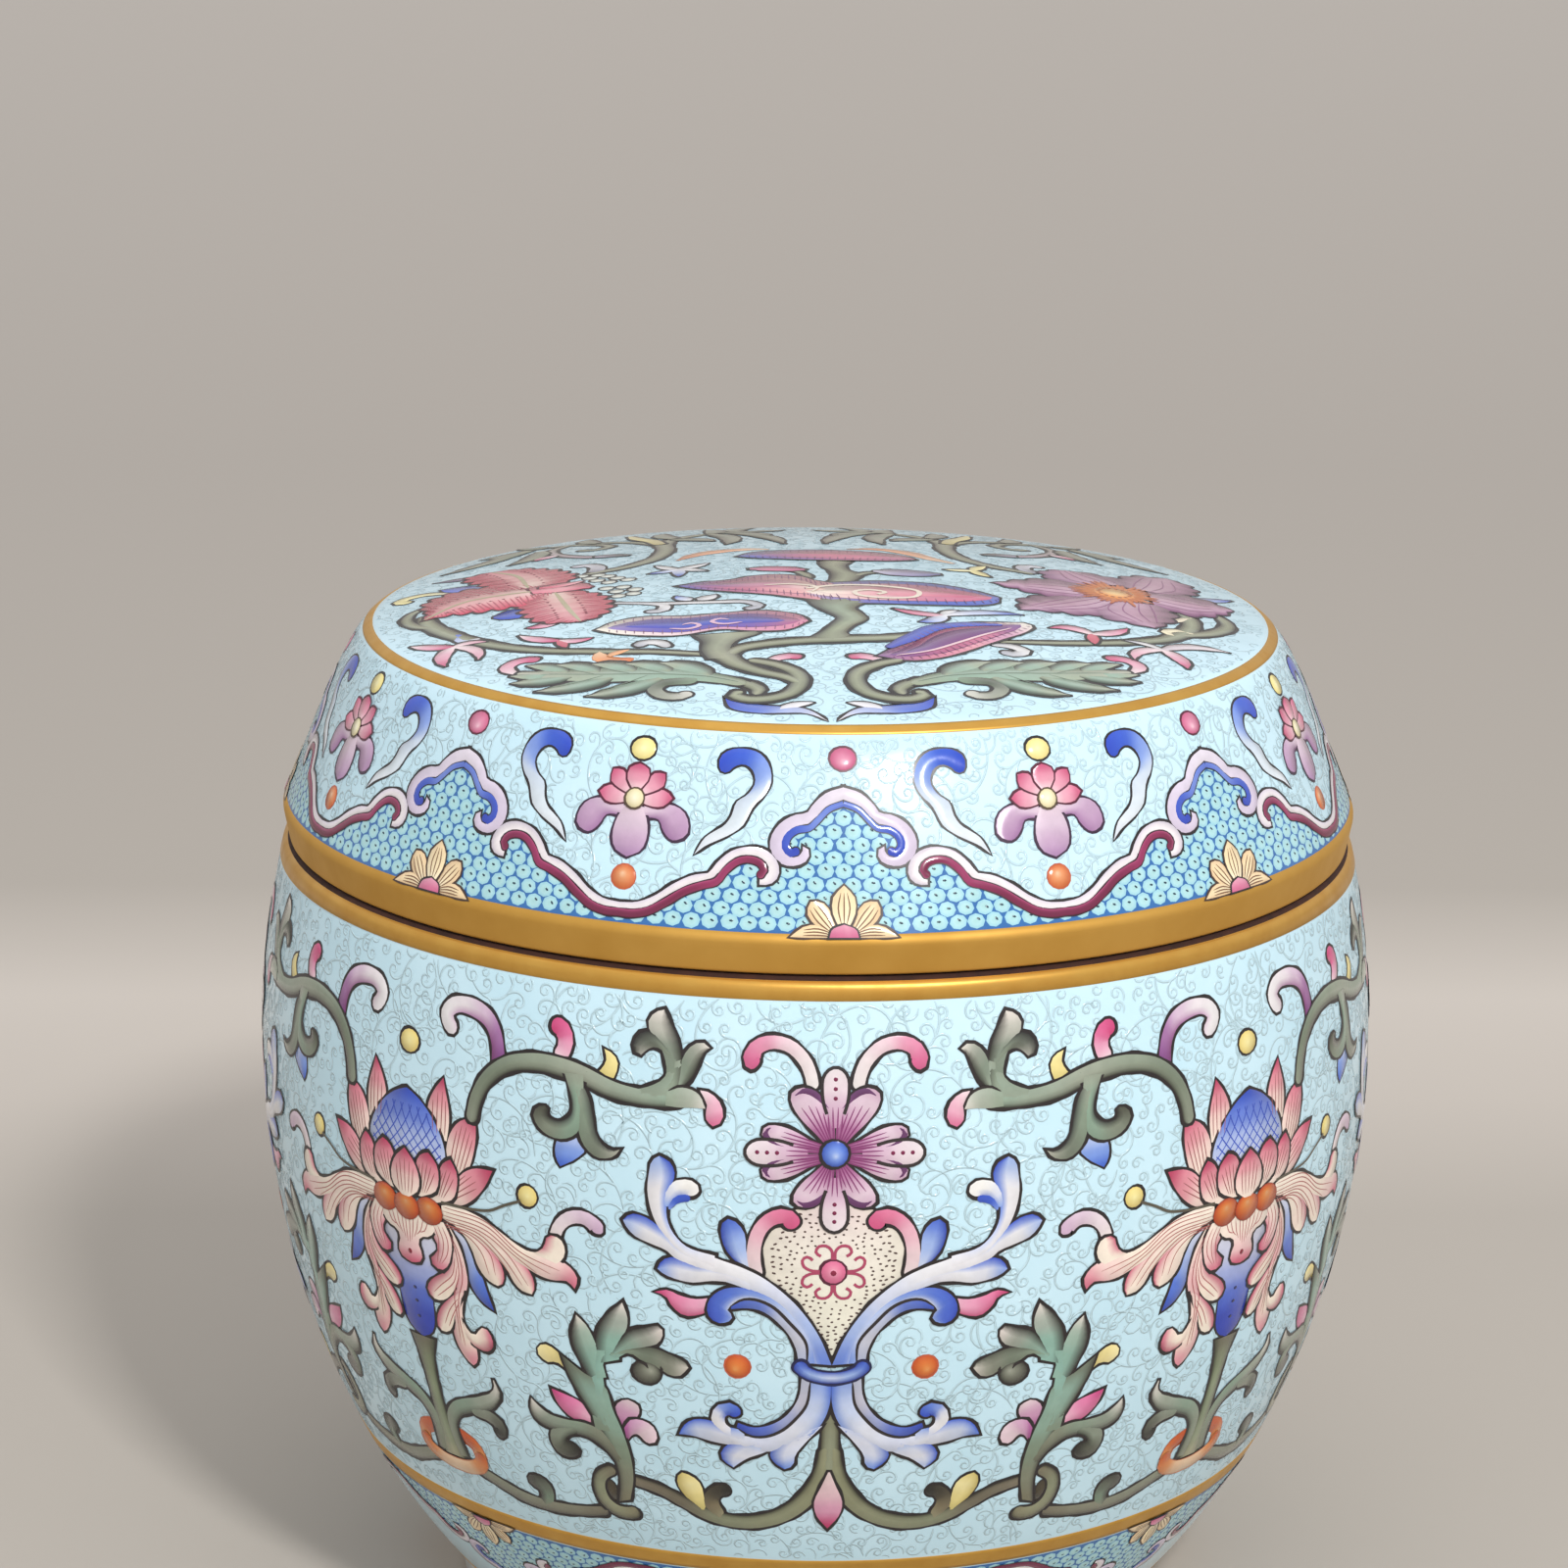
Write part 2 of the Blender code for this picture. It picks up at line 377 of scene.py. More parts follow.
class Art:
    """Drawn shapes: enamel fills on one film and their inked edges, a little lower, on another."""

    def __init__(self):
        self.paint, self.ink = Film(), Film()

    def fill(self, left, right, c, lo=None, hi=None, level=0, cols=5, ink=0.36, power=1.6, tilt=0.3,
             ink_c=INK, dome=1.0):
        """Enamel between two matched lines. c runs along, lo and hi are the colours of the two edges."""
        s = np.linspace(-1, 1, cols)
        w = (s[:, None] + 1) / 2
        p = left[:, None] * (1 - w) + right[:, None] * w
        mid = (left + right) / 2
        a = arc_of(mid)
        t = a / max(a[-1], 1e-6)
        tint = np.repeat(ramp(stops_of(c), t)[:, None], cols, 1)
        for side, edge in ((-1, lo), (1, hi)):
            if edge is not None:
                f = np.clip(side * s, 0, 1)[None, :, None] ** power
                tint = tint * (1 - f) + ramp(stops_of(edge), t)[:, None] * f
        across = right - left
        across = across / np.maximum(np.linalg.norm(across, axis=1), 1e-4)[:, None]
        h = BASE_H + LEVEL_H * level + dome * DOME_H * (1 - s**2)
        self.paint.grid(p, np.broadcast_to(h, p.shape[:2]), across[:, None] * s[:, None] * tilt, tint)
        if ink:
            self.edge(np.vstack([left, right[::-1]]), ink, level, ink_c)

    def edge(self, ring, width, level, c):
        """A brush line of varying width round a closed shape."""
        gap = np.hypot(*(ring - np.roll(ring, 1, 0)).T)
        ring = ring[gap > 0.02]
        ahead, behind = np.roll(ring, -1, 0) - ring, ring - np.roll(ring, 1, 0)
        ahead /= np.linalg.norm(ahead, axis=1)[:, None]
        behind /= np.linalg.norm(behind, axis=1)[:, None]
        n = behind[:, ::-1] * (1, -1) + ahead[:, ::-1] * (1, -1)
        size = np.maximum(np.linalg.norm(n, axis=1), 0.5)[:, None]
        n = n / size * np.minimum(2 / size, MITRE)
        area = np.sum(ring[:, 0] * np.roll(ring[:, 1], -1) - np.roll(ring[:, 0], -1) * ring[:, 1])
        n *= np.sign(area)
        s = arc_of(ring)
        w = width * (1 + 0.22 * np.sin(s * 0.9 + ring[0, 0] * 3) + 0.14 * np.sin(s * 2.3 + ring[0, 1]))
        ring, n, w = (np.concatenate([x, x[:1]]) for x in (ring, n, w))
        p = np.stack([ring - INK_UNDER * n, ring + n * w[:, None]], 1)
        h = np.broadcast_to(INK_H + LEVEL_H * level, p.shape[:2])
        self.ink.grid(p, h, np.zeros_like(p), np.asarray(c, float))

    def stroke(self, pts, w, c, caps=(1, 1), step=0.75, **k):
        """A brush stroke along a spine. w are half widths evenly along it; a cap of 1 is round."""
        line = curve(pts)
        a = arc_of(line)
        total = a[-1]
        s = [np.linspace(0, total, max(5, int(total / step) + 2))]
        ws = np.atleast_1d(np.asarray(w, float))
        wa, wb = min(ws[0], total / 2), min(ws[-1], total / 2)
        turn = 1 - np.cos(np.linspace(0, np.pi / 2, 6))
        if caps[0]:
            s.append(wa * turn)
        if caps[1]:
            s.append(total - wb * turn)
        s = np.unique(np.round(np.concatenate(s), 4))
        half = ramp(ws, s / total)
        for cap, reach, radius in ((caps[0], s, wa), (caps[1], total - s, wb)):
            if cap:
                half = half * np.sqrt(np.clip(1 - (1 - np.minimum(reach / max(radius, 1e-6), 1)) ** 2, 0,
                                              1))
        p = along(line, s)
        d = rows_at(np.stack([np.gradient(line[:, 0], a), np.gradient(line[:, 1], a)], 1), a, s)
        d /= np.linalg.norm(d, axis=1)[:, None]
        n = lefts(d) * half[:, None]
        self.fill(p - n, p + n, c, **k)

    def leaf(self, left, right, c, **k):
        """A shape between its two edges, each from base to tip."""
        left, right = curve(left), curve(right)
        long = max(arc_of(left)[-1], arc_of(right)[-1])
        t = np.linspace(0, 1, max(7, int(long / 0.7)))
        self.fill(along(left, t * arc_of(left)[-1]), along(right, t * arc_of(right)[-1]), c, **k)

    def line(self, pts, w, c, level=0, taper=True, step=0.6):
        """A thin line of colour lying on the fills of its level."""
        line = curve(pts)
        total = arc_of(line)[-1]
        s = np.linspace(0, total, max(3, int(total / step) + 2))
        p = along(line, s)
        d = np.gradient(p, axis=0)
        d /= np.maximum(np.linalg.norm(d, axis=1), 1e-6)[:, None]
        t = s / total
        half = w * (np.sqrt(np.clip(4 * t * (1 - t), 0, 1)) * 0.75 + 0.25 if taper else np.ones_like(t))
        n = lefts(d) * half[:, None]
        q = np.stack([p - n, p + n], 1)
        h = np.full(q.shape[:2], BASE_H + LEVEL_H * level + DOME_H + 0.01)
        self.paint.grid(q, h, np.zeros_like(q), ramp(stops_of(c), t)[:, None])

    def dot(self, centre, rx, c, ry=None, angle=0.0, level=0, ink=0.3, ink_c=INK, sides=14, rings=3,
            glint=(0, 0), slope=0.45):
        """A domed spot, its colours running from the middle out. glint moves the middle's light."""
        ry = ry or rx
        a = np.linspace(0, 2 * np.pi, sides + 1)
        rim = np.stack([rx * np.cos(a), ry * np.sin(a)], 1)
        turn = np.array([[np.cos(angle), -np.sin(angle)], [np.sin(angle), np.cos(angle)]])
        rim = rim @ turn.T
        f = np.linspace(0.001, 1, rings + 1)
        off = np.asarray(glint, float)
        p = np.asarray(centre, float) + f[:, None, None] * rim[None] + (1 - f)[:, None, None] * off
        h = BASE_H + LEVEL_H * level + 1.4 * DOME_H * (1 - f**2)
        tint = ramp(stops_of(c), f)[:, None]
        tilt = rim / np.linalg.norm(rim, axis=1)[:, None]
        self.paint.grid(p, np.repeat(h[:, None], sides + 1, 1), f[:, None, None] * tilt[None] * slope,
                        np.repeat(tint, sides + 1, 1))
        if ink:
            self.edge((np.asarray(centre) + rim)[:-1], ink, level, ink_c)

    def sym(self, pts, c, at=0.0, **k):
        """A shape symmetrical about an axis, from its left edge."""
        p = np.array(pts, float)
        self.leaf(p + (at, 0), p * (-1, 1) + (at, 0), c, **k)

    def fan(self, base, tips, c, w=0.1, level=0):
        """Fine veins that spread from a narrow base towards these tips."""
        (x0, y0), (x1, y1) = base
        for i, tip in enumerate(tips):
            f = i / max(len(tips) - 1, 1)
            start = np.array((x0 + (x1 - x0) * f, y0 + (y1 - y0) * f))
            bend = (start + np.array(tip)) / 2 + (0.12 * (f - 0.5), 0)
            self.line([start, bend, tip], w, c, level=level)


# Colours of the enamels, as they look under plain light, and of thin outlines
PALE, PEARL, CREAM, DARK = (224, 224, 234), (226, 224, 230), (242, 226, 206), (30, 30, 26)
SKY, AZURE, BLUE = (142, 170, 232), (120, 150, 224), (46, 84, 200)
PLUM, LILAC = (118, 44, 108), (170, 112, 166)
WINE, CLARET, DUSK, UMBER, RUST = (90, 24, 50), (90, 20, 44), (60, 34, 62), (70, 48, 40), (206, 92, 54)

# Each named group is its chart and pairs of a drawing and its copies
drawn = {}

# Body: half a cell, to be mirrored about its axis, and what stands on the axes
half, mid = Art(), Art()
drawn["body"] = (BODY, (half, mirrored), (mid, plain))


def body(*pts):
    """Points of the body's left half, with the brush's lean off the true axes taken out."""
    p = np.array(pts, float)
    f = np.clip(np.abs(p[:, 0]) / 52, 0, 1)
    p[:, 0] -= (1 - f) * np.interp(p[:, 1], [20, 33, 45], [0, 0.5, 1.1]) + f
    return p


def lotus(*pts):
    """Points measured from the axis of the lotus."""
    return np.array(pts, float) - (CELL / 2, 0)


# Body: the four-petalled flower

def petal(art, at, angle, length, wide, reach):
    """Two curled side lobes over a pale middle lobe with three spots, pointing away from the bead."""
    c, s = np.cos(angle), np.sin(angle)

    def spot(*pts):
        """Points given across the petal and along it."""
        return np.array([(at[0] + x * c + y * s, at[1] + x * s - y * c) for x, y in pts])

    for m in (-1, 1):
        x, y = m * wide, reach
        art.leaf(
            spot((m * 0.02, 0.8), (m * 0.06, y * 0.35), (m * 0.2, y * 0.56), (m * 0.75, y * 0.72),
                 (x * 0.3, y * 0.88), (x * 0.5, y * 1.01), (x * 0.72, y * 1.06), (x * 0.9, y * 1.03)),
            spot((m * 1.0, 0.9), (x * 0.42, y * 0.3), (x * 0.74, y * 0.52), (x * 0.95, y * 0.72),
                 (x * 1.03, y * 0.88), (x * 1.0, y * 0.98), (x * 0.97, y * 1.01), (x * 0.9, y * 1.03)),
            [(132, 48, 108), (170, 96, 148), (204, 162, 190), (216, 190, 206), (198, 160, 186)], level=2)
        art.stroke(
            spot((m * 0.72, y * 0.73), (x * 0.34, y * 0.87), (x * 0.53, y * 0.97), (x * 0.76, y * 1.0),
                 (x * 0.93, y * 0.93)), [0.06, 0.28, 0.4, 0.38, 0.08],
            [(120, 66, 120), (96, 44, 96), (96, 44, 96)], level=2, ink=0, step=0.5, dome=1.9)
        art.fan(spot((m * 0.3, 1.1), (m * 0.9, 1.1)),
                spot((x * 0.28, y * 0.66), (x * 0.45, y * 0.76), (x * 0.62, y * 0.78),
                     (x * 0.78, y * 0.74)), (132, 46, 108), 0.08, 2)
    outline = [(-0.35, 0.3), (-0.95, 0.46), (-1.35, 0.6), (-1.5, 0.75), (-1.42, 0.87), (-0.9, 0.96), (0, 1)]
    left, right = ([(m * x, y * length) for x, y in outline] for m in (1, -1))
    art.leaf(spot(*left), spot(*right),
             [(186, 128, 168), (208, 172, 196), (224, 206, 214), (228, 216, 220)], level=2.4, ink=0)
    art.line(spot(*(left[1:] + right[1:-1][::-1])), 0.19, INK, level=2.4, taper=False)
    art.fan(spot((-0.4, 1.0), (0.4, 1.0)),
            spot((-0.8, length * 0.46), (-0.3, length * 0.54), (0.3, length * 0.54), (0.8, length * 0.46)),
            (136, 50, 112), 0.08, 2.5)
    for f in (0.64, 0.75, 0.86):
        art.dot(spot((0, length * f))[0], 0.25, [(120, 16, 66)], level=2.8, ink=0, sides=8, rings=1)


BEAD = (0, 19.7)
petal(mid, BEAD, 0, 9.6, 4.8, 6.9)
petal(mid, BEAD, np.pi, 9.0, 4.4, 5.8)
petal(half, BEAD, -np.pi / 2, 9.9, 3.0, 7.6)
mid.dot(BEAD, 1.45, [(176, 196, 238), (96, 134, 224), (46, 80, 184)], level=4, ink=0.34, glint=(0.1, 0.3))
half.stroke(
    body((-2.4, 12.6), (-2.7, 11), (-3.4, 9.4), (-5, 7.9), (-7, 7.5), (-8.7, 8.2), (-9.1, 9.5),
         (-8.4, 10.0)), [0.65, 0.68, 0.7, 0.72, 0.82, 1.12],
    [(222, 214, 212), (224, 210, 212), (226, 196, 206), (220, 134, 166), (208, 84, 134)], level=1)

# Body: the cream heart with its stipple, rosette and scrolls
mid.sym(
    [(-1.5, 25.4), (-4.8, 26.4), (-6.9, 28.0), (-7.9, 30.8), (-7.6, 34.0), (-5.0, 36.9), (-2.8, 39.3),
     (-1.3, 41.6), (-0.1, 43.6)], [(226, 206, 204), (236, 228, 216), (234, 230, 212), (228, 226, 208)],
    cols=7, lo=(228, 220, 204), hi=(228, 220, 204), power=3)
HEART_TOP, ROSETTE = 25.6, 33.4
STIPPLE_TRIES, STIPPLE_GAP = 5200, (0.62, 0.42)
grain, dashes = np.random.default_rng(7), []
for _ in range(STIPPLE_TRIES):
    x, y = grain.uniform(-7.6, 7.6), grain.uniform(26.6, 43)
    wide = np.interp(y, [26, 28, 31, 34, 37, 39.5, 41.6, 43.4], [3.4, 5.8, 7.1, 6.9, 4.6, 2.5, 1.2, 0.1])
    depth = min(wide - abs(x), y - HEART_TOP)
    crowded = any(abs(x - a) < STIPPLE_GAP[0] and abs(y - b) < STIPPLE_GAP[1] for a, b in dashes)
    if depth < 0.22 or np.hypot(x * 0.85, y - ROSETTE) < 3.5 or crowded:
        continue
    if grain.random() < np.interp(depth, [0.3, 1.6, 3.5], [1, 0.75, 0.3]):
        dashes.append((x, y))
        size, angle = np.interp(depth, [0, 3], [0.27, 0.17]), grain.uniform(-0.5, 0.3)
        mid.dot((x, y), size, [(84, 60, 56)], ry=0.13, angle=angle, level=0.45, ink=0, sides=5, rings=1)
mid.dot((0, ROSETTE), 1.35, [(238, 176, 196), (228, 120, 156), (218, 96, 140)], level=1, ink=0.3,
        ink_c=(90, 20, 50))
mid.dot((0, 33.5), 0.34, [(140, 20, 60)], level=1.6, ink=0, sides=8, rings=1)
for q in (1, -1):
    for curl in ([(-0.15, 1.5), (-0.2, 2.5), (-0.8, 3.1), (-1.7, 3.0), (-1.95, 2.3), (-1.4, 1.9)],
                 [(-1.5, 0.1), (-2.5, 0.2), (-3.3, 0.7), (-3.4, 1.5), (-2.8, 1.8), (-2.3, 1.4)]):
        pts = [(x, ROSETTE - q * y) for x, y in curl]
        half.line(pts, 0.17, (176, 60, 96), level=0.6, taper=False, step=0.4)
half.stroke(
    body((-7.7, 34.2), (-8.2, 32.4), (-8.2, 30.3), (-7.6, 28.4), (-6.2, 27.1), (-4.7, 27.0), (-4.0, 28.3)),
    [0.7, 0.76, 0.76, 0.76, 0.82, 1.0],
    [(224, 206, 208), (226, 196, 202), (226, 168, 186), (220, 112, 150), (208, 76, 126)], level=1)
half.leaf(
    body((-9.4, 33.2), (-11.2, 31.3), (-11.9, 29.4), (-11.8, 28), (-11.2, 27.5)),
    body((-8.6, 33.4), (-9.1, 31), (-9.3, 29.2), (-10.2, 27.9), (-11.2, 27.5)),
    [(200, 210, 236), (150, 176, 232), (66, 102, 210)], lo=(36, 66, 178), level=1)

# Body: upper acanthus, pale with blue tips
half.leaf(
    body((1.05, 44.8), (-0.4, 41.5), (-2, 39), (-4, 36.7), (-7, 34.3), (-9.5, 33.1), (-12, 32.3),
         (-14.4, 31.5)),
    body((-1.2, 44.6), (-2.0, 42), (-3.6, 39.3), (-5.6, 37.2), (-8, 36), (-10.2, 35.2), (-12.4, 34.6),
         (-14.6, 33.9)), [(96, 128, 216), (160, 182, 232), (206, 212, 234), (226, 226, 232), PEARL],
    hi=[(206, 214, 236)] * 2, level=2, cols=7)
half.leaf(
    body((-12.5, 34.2), (-16.8, 31.9), (-18.7, 29.4), (-19.7, 27.3), (-20.2, 25), (-20.1, 23),
         (-19.8, 21.5), (-19, 20.9)),
    body((-12.5, 31.9), (-15.6, 31.1), (-17.2, 29.6), (-17.9, 28), (-18, 26.5), (-17.7, 24.6),
         (-17.2, 22.8), (-17.8, 21.5), (-19, 20.9)),
    [PEARL, (222, 222, 230), PEARL, (228, 226, 230), (150, 176, 232)],
    hi=[PALE, (190, 202, 238), (70, 108, 214), (30, 62, 184)], power=1.0, level=2, cols=7)
half.stroke(
    body((-18, 26.6), (-17.6, 25.2), (-16.6, 24.4), (-15.4, 24.4), (-15.1, 25.1)), [0.5, 0.9, 1.0, 0.95],
    [SKY, (212, 216, 232), (232, 230, 226), (230, 228, 226)], hi=[BLUE, (60, 96, 206), PALE], level=2)
half.stroke(body((-17.7, 26.9), (-17.2, 25.95), (-16.3, 25.45), (-15.4, 25.5)), [0.15, 0.42, 0.5, 0.4],
            [(110, 140, 224), (44, 82, 200), (40, 74, 190)], level=2, ink=0, dome=1.9)
half.leaf(
    body((-14.5, 31.6), (-16.6, 30.9), (-18.2, 29.5), (-20.3, 28.1), (-22, 27.9), (-22.9, 28.7)),
    body((-14.5, 33.8), (-16.8, 32.7), (-17.8, 31.8), (-19.8, 31.1), (-21.4, 30.5), (-22.4, 29.6),
         (-22.9, 28.7)), [PEARL, (222, 222, 230), (224, 224, 230), (160, 182, 232)],
    lo=[PALE, (140, 168, 234), (44, 80, 198), (30, 60, 178)], power=1.0, level=2)
half.leaf(
    body((-8.5, 34.3), (-11.8, 33.2), (-14.5, 32.9), (-16.4, 32.5), (-17.8, 32.6), (-18.6, 33.3),
         (-18.9, 34)),
    body((-8.5, 35.9), (-10, 35.1), (-12.5, 34.9), (-15, 35.3), (-17, 35), (-18.3, 34.5), (-18.9, 34)),
    [(214, 218, 234), (220, 220, 230), (224, 224, 230), (218, 220, 232), (130, 158, 228)],
    lo=[PALE, (160, 184, 236), (46, 82, 200), (30, 60, 178)], power=1.0, level=2)
half.leaf(
    body((-0.6, 44.6), (-1.3, 42), (-3, 39.3), (-5, 37.2), (-7.4, 35.9), (-9.8, 35.5), (-11.6, 35.9),
         (-12.9, 37.1), (-13.2, 38.5), (-12.7, 39.6), (-11.8, 40)),
    body((-1.7, 44.6), (-2, 42), (-4, 39.5), (-6, 37.6), (-8, 36.8), (-9.3, 36.9), (-10.4, 37.6),
         (-10.9, 38.4), (-10.3, 39), (-10.8, 39.8), (-11.8, 40)),
    [AZURE, (186, 200, 236), (176, 194, 234), AZURE, (70, 106, 212), (60, 92, 204)],
    lo=[(96, 128, 216), (150, 176, 232), (70, 104, 208), (32, 60, 176)],
    hi=[SKY, (200, 210, 236), PALE, (214, 220, 236), AZURE], level=2, cols=7)
half.leaf(body((-1.7, 44.6), (-2.1, 42), (-4, 39.6), (-6, 37.7), (-8, 36.9), (-9.5, 37.1), (-10.5, 37.9)),
          body((-2.7, 44.6), (-3, 43), (-4, 41), (-6, 38.9), (-7.5, 38.1), (-9.2, 38), (-10.5, 38.2)),
          [(168, 176, 206), (190, 192, 208), (176, 184, 212), (86, 112, 200), (50, 80, 186)], level=2)
half.line(body((-1.7, 44.6), (-2, 42), (-4, 39.5), (-6, 37.6), (-8, 36.85), (-9.4, 37), (-10.5, 37.8)), 0.2,
          INK, level=2)
half.leaf(
    body((-12.4, 36.9), (-14.5, 37.3), (-16.4, 37), (-17.7, 36.5), (-19.2, 36.9)),
    body((-12.4, 38.4), (-14.4, 39.3), (-15.9, 39.4), (-17.2, 38.4), (-17.9, 37.3), (-19.2, 36.9)),
    [(228, 176, 196), (228, 150, 182), (222, 116, 158), (200, 50, 108)], hi=(208, 84, 132), level=1)

# Body: lower acanthus, waist collar, stem and drop
half.leaf(
    body((-1.2, 46.6), (-1.6, 49.8), (-2.9, 52), (-4.6, 53.5), (-6.5, 54.4), (-8.6, 54.6), (-10.6, 54.1)),
    body((1.1, 46.6), (0.95, 50), (0.1, 52.5), (-1.8, 54.9), (-4, 56.1), (-6.5, 56.6), (-9, 56.4),
         (-10.8, 55.6)),
    [(130, 158, 226), (190, 204, 236), (216, 220, 234), (206, 212, 234), (214, 218, 232)],
    hi=[(58, 98, 214), (120, 152, 230), (200, 210, 236), PALE], level=2, cols=7)
half.leaf(
    body((-2.3, 46.6), (-2.6, 49), (-4, 51.5), (-6, 52.9), (-8, 53.3), (-9.7, 52.8)),
    body((-1.2, 46.6), (-1.7, 50), (-3, 52), (-4.6, 53.6), (-6.5, 54.5), (-8.3, 54.5), (-9.9, 53.4)),
    [(176, 182, 204), (186, 186, 204), (150, 160, 206), (76, 100, 196), (40, 66, 176)], level=2)
half.line(body((-1.3, 47), (-1.7, 50), (-3, 52), (-4.6, 53.6), (-6.5, 54.5), (-8.3, 54.5), (-9.7, 53.6)),
          0.2, INK, level=2)
half.stroke(
    body((-10.6, 54.6), (-11.9, 53.3), (-12, 51.9), (-11.1, 51), (-10.2, 51.3), (-10.0, 52)),
    [0.8, 0.75, 0.8, 0.85, 0.85],
    [(206, 212, 234), (226, 224, 228), (224, 224, 230), (90, 124, 214), (40, 74, 196)],
    hi=[PALE, PALE, (40, 76, 196), (34, 62, 180)], level=2)
half.leaf(
    body((-9, 53.8), (-11.5, 53.3), (-13.2, 52.7), (-15, 52.8), (-16.2, 53.7), (-16.9, 55)),
    body((-9, 56), (-11, 55.9), (-13, 55.6), (-15, 55.1), (-16.2, 55), (-16.9, 55)),
    [(206, 212, 232), (210, 214, 230), (196, 206, 230), (86, 120, 214)],
    lo=[SKY, (64, 100, 208), BLUE, BLUE], level=2)
half.leaf(
    body((-9.4, 55), (-10.8, 55.7), (-11.9, 57), (-11.7, 58.2), (-10.5, 59.1)),
    body((-5.4, 56), (-7, 56.9), (-8.6, 57.6), (-9.7, 58.4), (-10.5, 59.1)),
    [(160, 184, 234), (206, 212, 232), (216, 218, 230), (176, 192, 232)],
    lo=[(110, 144, 228), (50, 86, 204), BLUE], level=2)
half.leaf(
    body((-4.6, 54.8), (-5.6, 56), (-6, 57.1), (-5.4, 58.2), (-4.3, 59)),
    body((0.2, 52.8), (-1.8, 55.2), (-3, 57), (-3.3, 58.5), (-4.3, 59)),
    [(196, 206, 236), (214, 218, 234), (206, 212, 232), (110, 144, 226)],
    lo=[(130, 160, 230), (60, 98, 210), BLUE], level=2)
mid.stroke(
    [(-3.9, 44.5), (-3.1, 45.6), (-1.5, 46.3), (0, 46.45), (1.5, 46.3), (3.1, 45.6), (3.9, 44.5)],
    [0.85, 0.72, 0.7, 0.7, 0.7, 0.72, 0.85],
    [(64, 100, 208), (150, 178, 232), (196, 208, 238), (150, 178, 232), (64, 100, 208)], lo=(34, 62, 168),
    hi=(34, 62, 168), level=3, ink=0.3, ink_c=(24, 28, 76))
half.dot(body((-9.6, 45.4))[0], 1.45, [(232, 150, 76), (224, 112, 36), (198, 70, 16)], ink=0.16, ink_c=RUST,
         glint=(-0.3, 0.4))
mid.sym([(0, 47.6), (-0.45, 50), (-0.95, 52.6), (-1.0, 55), (-1.15, 57.5), (-1.5, 59.5)],
        [(100, 98, 78), (130, 132, 104), (144, 150, 122), (146, 152, 124)], lo=(74, 72, 52),
        hi=(74, 72, 52), power=3)
half.stroke(
    body((0.5, 56), (0.35, 58.6), (-0.5, 61.4), (-2.2, 64), (-4.8, 66.1), (-8, 67.25), (-11, 67.4),
         (-14, 66.7), (-17, 65.2), (-20, 63.6), (-24, 62.6)),
    [0.7, 0.95, 1.1, 1.1, 1.05, 1.0, 0.95, 0.85, 0.75, 0.7],
    [(146, 148, 114), (140, 142, 108), (142, 146, 114), (136, 142, 112), (112, 104, 84), (126, 116, 96)],
    hi=[(40, 38, 28)] * 2, power=2.6)
half.stroke(body((-12.6, 67), (-13.5, 65.3), (-13.5, 63.9), (-12.5, 62.8), (-11.1, 62.7)),
            [1.0, 1.0, 0.95, 0.85, 0.75], [(142, 136, 106), (120, 108, 80), (60, 54, 40), (26, 24, 20)])
half.leaf(
    body((-15.3, 65.9), (-16.9, 64.1), (-17.7, 62.5), (-17.6, 61.2), (-17, 60.6)),
    body((-14.4, 66), (-14.5, 63.8), (-14.8, 62), (-15.8, 61), (-17, 60.6)),
    [(206, 190, 110), (232, 214, 134), (240, 226, 158), (226, 206, 124)], lo=(206, 184, 96), ink=0.32)
mid.sym([(-0.1, 59.4), (-0.85, 61.4), (-1.75, 63.9), (-1.4, 66), (0, 68)],
        [(230, 206, 204), (228, 190, 198), (216, 148, 178), (188, 40, 96)], level=1, cols=7)

# Body: leafy branch and the knot it grows from
half.leaf(
    body((-26, 66.3), (-25.4, 63.5), (-25.4, 61), (-26.3, 57.5), (-27.8, 54), (-29.4, 51), (-30.4, 48.8),
         (-31, 46.6)),
    body((-24.4, 65.8), (-23.5, 62.5), (-23.4, 59.5), (-24, 56), (-25, 52.8), (-25.6, 50), (-26.6, 49.2),
         (-27.6, 48.9)),
    [(120, 116, 92), (126, 130, 108), (122, 140, 118), (134, 166, 148), (136, 172, 156), (110, 120, 102)],
    lo=[(60, 60, 48)] * 2, power=3, level=1, cols=7)
half.leaf(
    body((-27.6, 56), (-27.9, 51), (-27.3, 48), (-26.5, 45.2)),
    body((-24, 56), (-25.4, 52), (-25.8, 49), (-25.5, 46.4), (-24.4, 45)),
    [(124, 142, 120), (138, 172, 156), (134, 178, 164), (134, 176, 160)], level=1)
half.leaf(
    body((-27.5, 49.2), (-28.6, 46.9), (-29.4, 44.6), (-29.3, 43), (-28.7, 41.1)),
    body((-25.4, 48.6), (-25.9, 46), (-26.4, 44.4), (-27.4, 42.3), (-28.7, 41.1)),
    [(136, 176, 160), (132, 172, 156), (150, 176, 160), (214, 208, 198)], lo=DARK, level=1)
half.leaf(
    body((-26.6, 47), (-26.4, 44), (-25.8, 41.8), (-24.6, 40.1), (-23, 38.7)),
    body((-23.6, 46), (-23.4, 43.4), (-22.6, 42.1), (-22.4, 40.5), (-23, 38.7)),
    [(134, 178, 164), (134, 176, 160), (160, 172, 160), (220, 212, 204)], lo=DARK, level=1)
